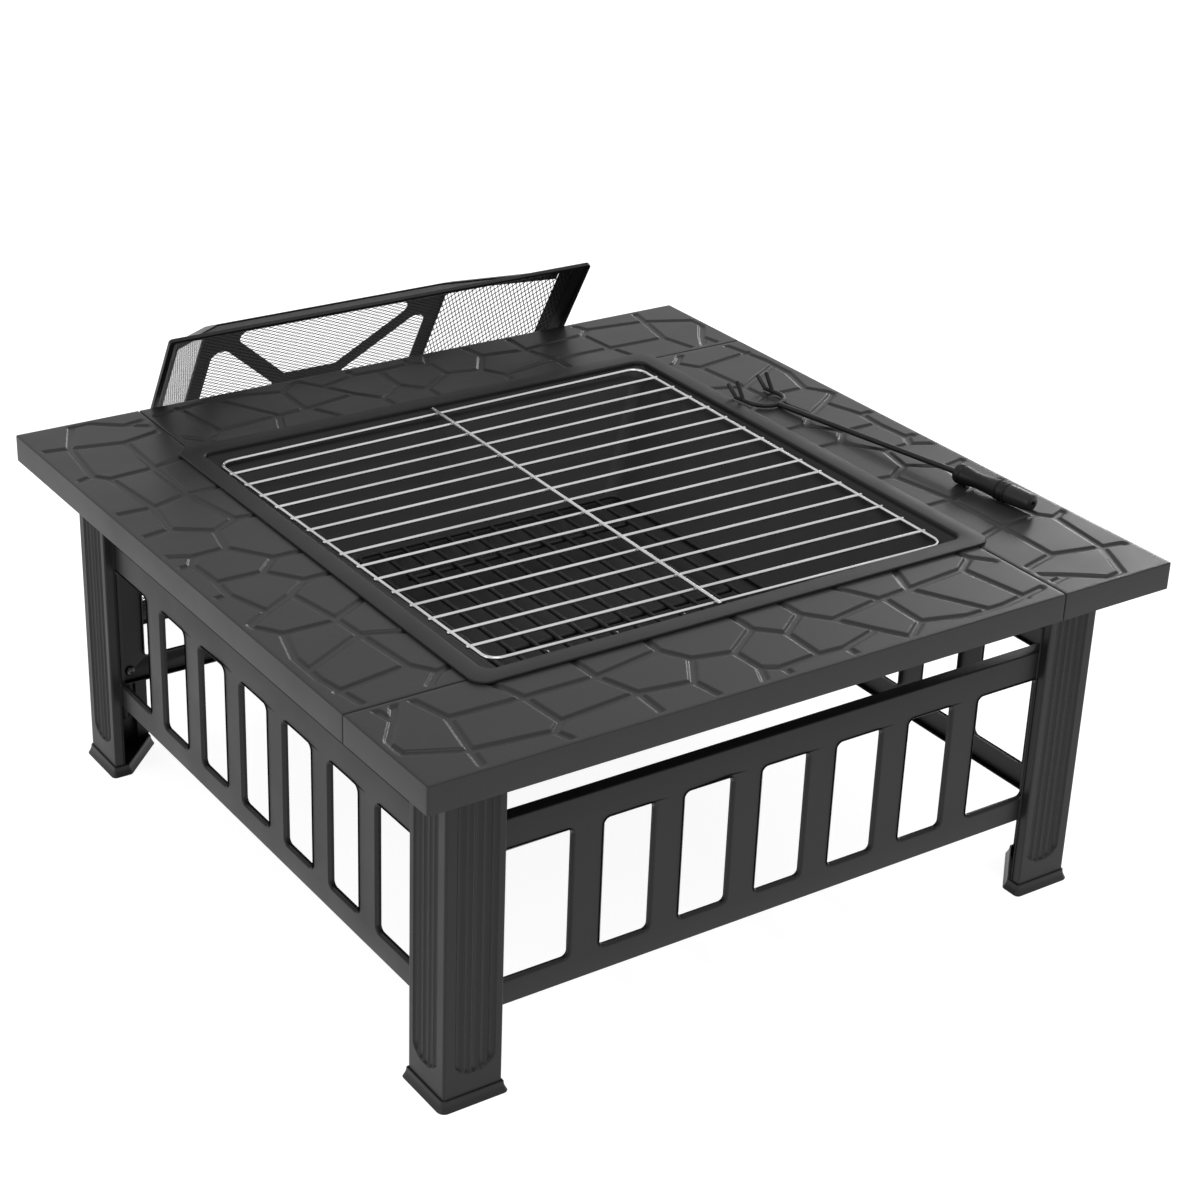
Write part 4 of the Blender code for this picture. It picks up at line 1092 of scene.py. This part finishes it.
def diamond_lattice(name, outline, to_space):
    """Expanded metal: diamonds clipped to a convex outline, thinned to strands, then placed."""
    reach_x = max(abs(x) for x, y in outline)
    low_y = min(y for x, y in outline)
    high_y = max(y for x, y in outline)
    half_long = DIAMOND_LONG / 2
    half_short = DIAMOND_SHORT / 2
    shaped = bmesh.new()
    nodes = {}

    def node(i, j):
        if (i, j) not in nodes:
            nodes[i, j] = shaped.verts.new((i * half_long, j * half_short, 0))
        return nodes[i, j]

    last_i = math.ceil(reach_x / half_long) + 1
    for i in range(-last_i, last_i + 1):
        for j in range(math.floor(low_y / half_short) - 1, math.ceil(high_y / half_short) + 2):
            if (i + j) % 2 == 0:
                shaped.faces.new((node(i - 1, j), node(i, j - 1), node(i + 1, j), node(i, j + 1)))
    for (ax, ay), (bx, by) in zip(outline, outline[1:] + outline[:1]):
        everything = shaped.verts[:] + shaped.edges[:] + shaped.faces[:]
        bmesh.ops.bisect_plane(
            shaped,
            geom=everything,
            plane_co=(ax, ay, 0),
            plane_no=(by - ay, ax - bx, 0),
            clear_outer=True,
        )
    mesh = bpy.data.meshes.new(name)
    shaped.to_mesh(mesh)
    shaped.free()
    obj = placed(name, mesh)
    change = obj.modifiers.new("strands", "WIREFRAME")
    change.thickness = STRAND
    change.use_even_offset = False
    change.use_boundary = True
    applied(obj).data.transform(to_space @ Matrix.Diagonal((1, 1, STRAND_FLATTENING, 1)))
    return obj


def side_lattice(turn):
    """The mesh behind one sloping side."""
    low_z = SCREEN_SKIRT_TOP - SCREEN_MESH_LAP
    depth = (SCREEN_SHEET + CLEARANCE + SCREEN_MESH / 2) / math.sin(SCREEN_SLOPE)
    low_half = face_half(low_z) - depth
    high_half = face_half(SCREEN_UNDER_TOP) - depth
    rise = (SCREEN_UNDER_TOP - low_z) / math.sin(SCREEN_SLOPE)
    outline = [(-low_half, 0), (low_half, 0), (high_half, rise), (-high_half, rise)]
    tilt = Matrix.Rotation(SCREEN_SLOPE, 4, "X")
    to_space = quarter(turn) @ Matrix.Translation((0, -low_half, low_z)) @ tilt
    return diamond_lattice("side_lattice_" + SIDES[turn], outline, to_space)


def top_lattice():
    half = face_half(SCREEN_UNDER_TOP) - 2 * SCREEN_MESH
    outline = rectangle(-half, -half, half, half)
    place = Matrix.Translation((0, 0, SCREEN_UNDER_TOP - SCREEN_MESH / 2))
    return diamond_lattice("top_lattice", outline, place)


def armed_plate():
    """A square plate with four windows, which leave a border, a hub and four diagonal arms."""
    half = SCREEN_TOP_SIDE / 2
    outer = half - SCREEN_TOP_BORDER
    inner = SCREEN_HUB / 2
    beside_arm = SCREEN_ARM / math.sqrt(2)
    window = [(inner, beside_arm - inner), (outer, beside_arm - outer)]
    window += [(x, -y) for x, y in window[::-1]]
    radii = [SCREEN_HUB_RADIUS, SCREEN_WINDOW_RADIUS, SCREEN_WINDOW_RADIUS, SCREEN_HUB_RADIUS]
    window = rounded(window, radii)
    loops = [rounded(rectangle(-half, -half, half, half), [SCREEN_CORNER_RADIUS] * 4)]
    for turn in range(4):
        around = Matrix.Rotation(turn * math.pi / 2, 2)
        loops.append([tuple(around @ Vector(point)) for point in window])
    flat = [[Vector((x, y, 0)) for x, y in loop] for loop in loops]
    count = sum(len(loop) for loop in loops)
    heights = (SCREEN_HEIGHT - SCREEN_SHEET, SCREEN_HEIGHT)
    points = [(x, y, z) for z in heights for loop in loops for x, y in loop]
    faces = []
    for a, b, c in geometry.tessellate_polygon(flat):
        faces.append((a, b, c))
        faces.append((a + count, b + count, c + count))
    start = 0
    for loop in loops:
        for i in range(len(loop)):
            a = start + i
            b = start + (i + 1) % len(loop)
            faces.append((a, b, b + count, a + count))
        start += len(loop)
    plate = mesh_object("armed_plate", points, faces)
    soft = plate.modifiers.new("soft_edges", "BEVEL")
    soft.width = SCREEN_SOFT_EDGE
    soft.segments = 2
    soft.limit_method = "ANGLE"
    return plate


def round_knob():
    """A mushroom knob on a flared neck."""
    foot = SCREEN_HEIGHT + CLEARANCE
    profile = [(KNOB_NECK_RADIUS * (1 + KNOB_FLARE), foot)]
    for share in shares(KNOB_NECK_STEPS):
        flare = KNOB_FLARE * (1 - math.sin(share * math.pi)) if share < 0.5 else 0
        height = KNOB_NECK_HEIGHT * (KNOB_NECK_START + KNOB_NECK_SPAN * share)
        profile.append((KNOB_NECK_RADIUS * (1 + flare), foot + height))
    crown = foot + KNOB_NECK_HEIGHT + KNOB_WIDEST_ABOVE_NECK
    dome = foot + KNOB_HEIGHT - crown
    for step in range(-KNOB_UNDERSIDE_STEPS, KNOB_DOME_STEPS + 1):
        angle = math.pi / 2 * step / KNOB_DOME_STEPS
        rise = (dome if step > 0 else KNOB_UNDERSIDE) * math.sin(angle)
        profile.append((max(KNOB_RADIUS * math.cos(angle), KNOB_TOP_RADIUS), crown + rise))
    return turned("round_knob", profile)


def make_screen():
    stand_all(
        screen_matrix(),
        (folded_ring(), "screen_base_ring", "screen_coat"),
        (armed_plate(), "screen_top_plate", "screen_coat"),
        (round_knob(), "screen_knob", "knob_black"),
        (top_lattice(), "screen_mesh_top", "screen_mesh"),
        *[(side_lattice(turn), "screen_mesh_" + SIDES[turn], "screen_mesh") for turn in range(4)],
    )


# Poker


def claw_arm(root, side):
    """One arm of the claw: out from the rod in a quarter round, then straight on."""
    points = []
    for share in shares(CLAW_ARM_STEPS):
        angle = math.pi / 2 * share
        x = side * CLAW_WIDTH / 2 * math.sin(angle)
        y = CLAW_SHOULDER * (1 - math.cos(angle))
        points.append(root + Vector((x, y - CLAW_JOIN, 0)))
    points.append(root + Vector((side * CLAW_WIDTH / 2, CLAW_REACH, 0)))
    return tube("arm", points, CLAW_WIRE)


def prong(root, side, place, lean, rise):
    """A straight prong that leans forward from an arm."""
    start = root + Vector((side * CLAW_WIDTH / 2, place, 0))
    return tube("prong", [start, start + Vector((0, lean, rise))], PRONG_WIRE)


def poker_claw():
    axis = GRIP_RADIUS
    root = Vector((0, POKER_ROD_LENGTH, POKER_ROD / 2))
    path = [(0, -GRIP_LENGTH - POKER_ROD_TAIL, axis)]
    path += [(0, along, axis - drop) for along, drop in POKER_BEND] + [tuple(root)]
    wires = [tube("rod", path, POKER_ROD)]
    for side in (-1, 1):
        wires.append(claw_arm(root, side))
        for place, lean, rise in CLAW_PRONGS:
            wires.append(prong(root, side, place, lean, rise))
    return joined("bent_wire_claw", wires)


def lying(profile, name):
    """A piece turned about the grip's axis, its heights running back from the grip's front."""
    piece = turned(name, profile)
    lay = Matrix.Translation((0, 0, GRIP_RADIUS)) @ Matrix.Rotation(-math.pi / 2, 4, "X")
    piece.data.transform(lay)
    return piece


def waisted_grip():
    """A soft grip, narrow in the middle, with a collar in front and two rings behind."""
    bore = POKER_ROD / 2 + CLEARANCE
    profile = [(bore, -GRIP_BORE_DEPTH), (bore, 0)]
    profile += [(GRIP_RADIUS * width, -along) for width, along in GRIP_COLLAR]
    front = GRIP_WAIST_START
    back = GRIP_LENGTH - 4 * GRIP_RING
    for share in shares(GRIP_WAIST_STEPS):
        waist = (GRIP_RADIUS - GRIP_WAIST_RADIUS) * math.sin(math.pi * share)
        profile.append((GRIP_RADIUS - waist, -front - share * (back - front)))
    for start in (back, back + 2 * GRIP_RING):
        for width, along in GRIP_RING_PROFILE:
            profile.append((GRIP_RADIUS * width, -start - GRIP_RING * along))
    profile += [(GRIP_RADIUS * GRIP_REAR, -GRIP_LENGTH), (bore, -GRIP_LENGTH)]
    return lying(profile, "waisted_grip")


def tapered_cap():
    """The end piece, tapering to a rounded end with a dimple for hanging it up."""
    front = -GRIP_LENGTH - CLEARANCE
    back = front - CAP_LENGTH
    profile = [(GRIP_RADIUS * width, front - along) for width, along in CAP_FRONT]
    for share in shares(CAP_TAPER_STEPS):
        narrowing = (CAP_FRONT_RADIUS - CAP_END_RADIUS) * share**CAP_TAPER_POWER
        height = front - CAP_TAPER_START - CAP_TAPER_LENGTH * share
        profile.append((CAP_FRONT_RADIUS - narrowing, height))
    profile += [(CAP_END_RADIUS * width, back + height) for width, height in CAP_ROUNDING]
    hole = CAP_HOLE / 2
    hole_end = back + CAP_HOLE_DEPTH
    profile += [(hole, back), (hole, hole_end), (CAP_HOLE_MIDDLE, hole_end)]
    return lying(profile, "tapered_cap")


def make_poker():
    rim_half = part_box("fire_bowl")[1].x
    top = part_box("tabletop_panel_right")[1].z
    spot = Matrix.Translation((rim_half + POKER_FROM_RIM, POKER_Y, top + CLEARANCE))
    stand_all(
        spot @ Matrix.Rotation(math.radians(POKER_TURN), 4, "Z"),
        (poker_claw(), "poker_rod_and_claw", "poker_coat"),
        (waisted_grip(), "poker_grip", "grip_rubber"),
        (tapered_cap(), "poker_end_cap", "cap_plastic"),
    )


def dress_frame_nodes():
    """The nodes of the frame that stay as they are take the same looks."""
    slots = {"screen_knob_screw": "screw_zinc"}
    for corner in CORNERS:
        slots["screen_post_" + corner] = "screen_coat"
    for node, slot in slots.items():
        for material_slot in frame["nodes"][node].material_slots:
            material_slot.material = LOOKS[slot]


# Stage


def add_camera():
    data = bpy.data.cameras.new("camera")
    data.lens = CAMERA_LENS
    data.sensor_width = SENSOR
    obj = placed("camera", data)
    forward = (Vector(CAMERA_TARGET) - Vector(CAMERA_PLACE)).normalized()
    right = forward.cross(Vector((0, 0, 1))).normalized()
    up = right.cross(forward)
    roll = math.radians(CAMERA_ROLL)
    image_right = right * math.cos(roll) + up * math.sin(roll)
    image_up = up * math.cos(roll) - right * math.sin(roll)
    axes = Matrix((image_right, image_up, -forward)).transposed()
    obj.matrix_world = Matrix.Translation(CAMERA_PLACE) @ axes.to_4x4()
    bpy.context.scene.camera = obj


def add_floor():
    reach = FLOOR_REACH
    corners = [(x, y, 0) for x, y in rectangle(-reach, -reach, reach, reach)]
    floor = mesh_object("floor", corners, [(0, 1, 2, 3)], tidy=False)
    grey = (FLOOR_GREY, FLOOR_GREY, FLOOR_GREY)
    white, shader = principled("floor_white", grey, FLOOR_ROUGHNESS, specular=FLOOR_SPECULAR)
    shader.inputs["Emission Color"].default_value = (1, 1, 1, 1)
    shader.inputs["Emission Strength"].default_value = FLOOR_GLOW
    floor.data.materials.append(white)


def add_sun(name, strength, spread, azimuth, elevation):
    """A soft sun that shines from an azimuth and an elevation, in degrees."""
    data = bpy.data.lights.new(name, "SUN")
    data.energy = strength
    data.angle = math.radians(spread)
    turn = (math.radians(90 - elevation), 0, math.radians(azimuth))
    placed(name, data).rotation_euler = turn


def add_light():
    world = bpy.data.worlds.new("studio")
    world.use_nodes = True
    background = world.node_tree.nodes["Background"]
    background.inputs["Color"].default_value = (1, 1, 1, 1)
    background.inputs["Strength"].default_value = WORLD_STRENGTH
    bpy.context.scene.world = world
    for name, strength, spread, azimuth, elevation in SUNS:
        add_sun(name, strength, spread, azimuth, elevation)
    bpy.context.scene.view_settings.view_transform = "Standard"


repeated(SIDES, (pressed_panel(), "pressed_panel_", "tabletop_panel_", "pressed_top_coat"))
repeated(
    CORNERS,
    (fluted_leg(), "fluted_leg_", "leg_", "black_powder_coat"),
    (flared_foot(), "flared_foot_", "foot_", "black_plastic"),
)
repeated(SIDES, (slatted_sheet(), "slatted_sheet_", "slatted_panel_", "black_powder_coat"))
make_bolts()
make_fire_parts()
make_screen()
make_poker()
dress_frame_nodes()
add_camera()
add_floor()
add_light()
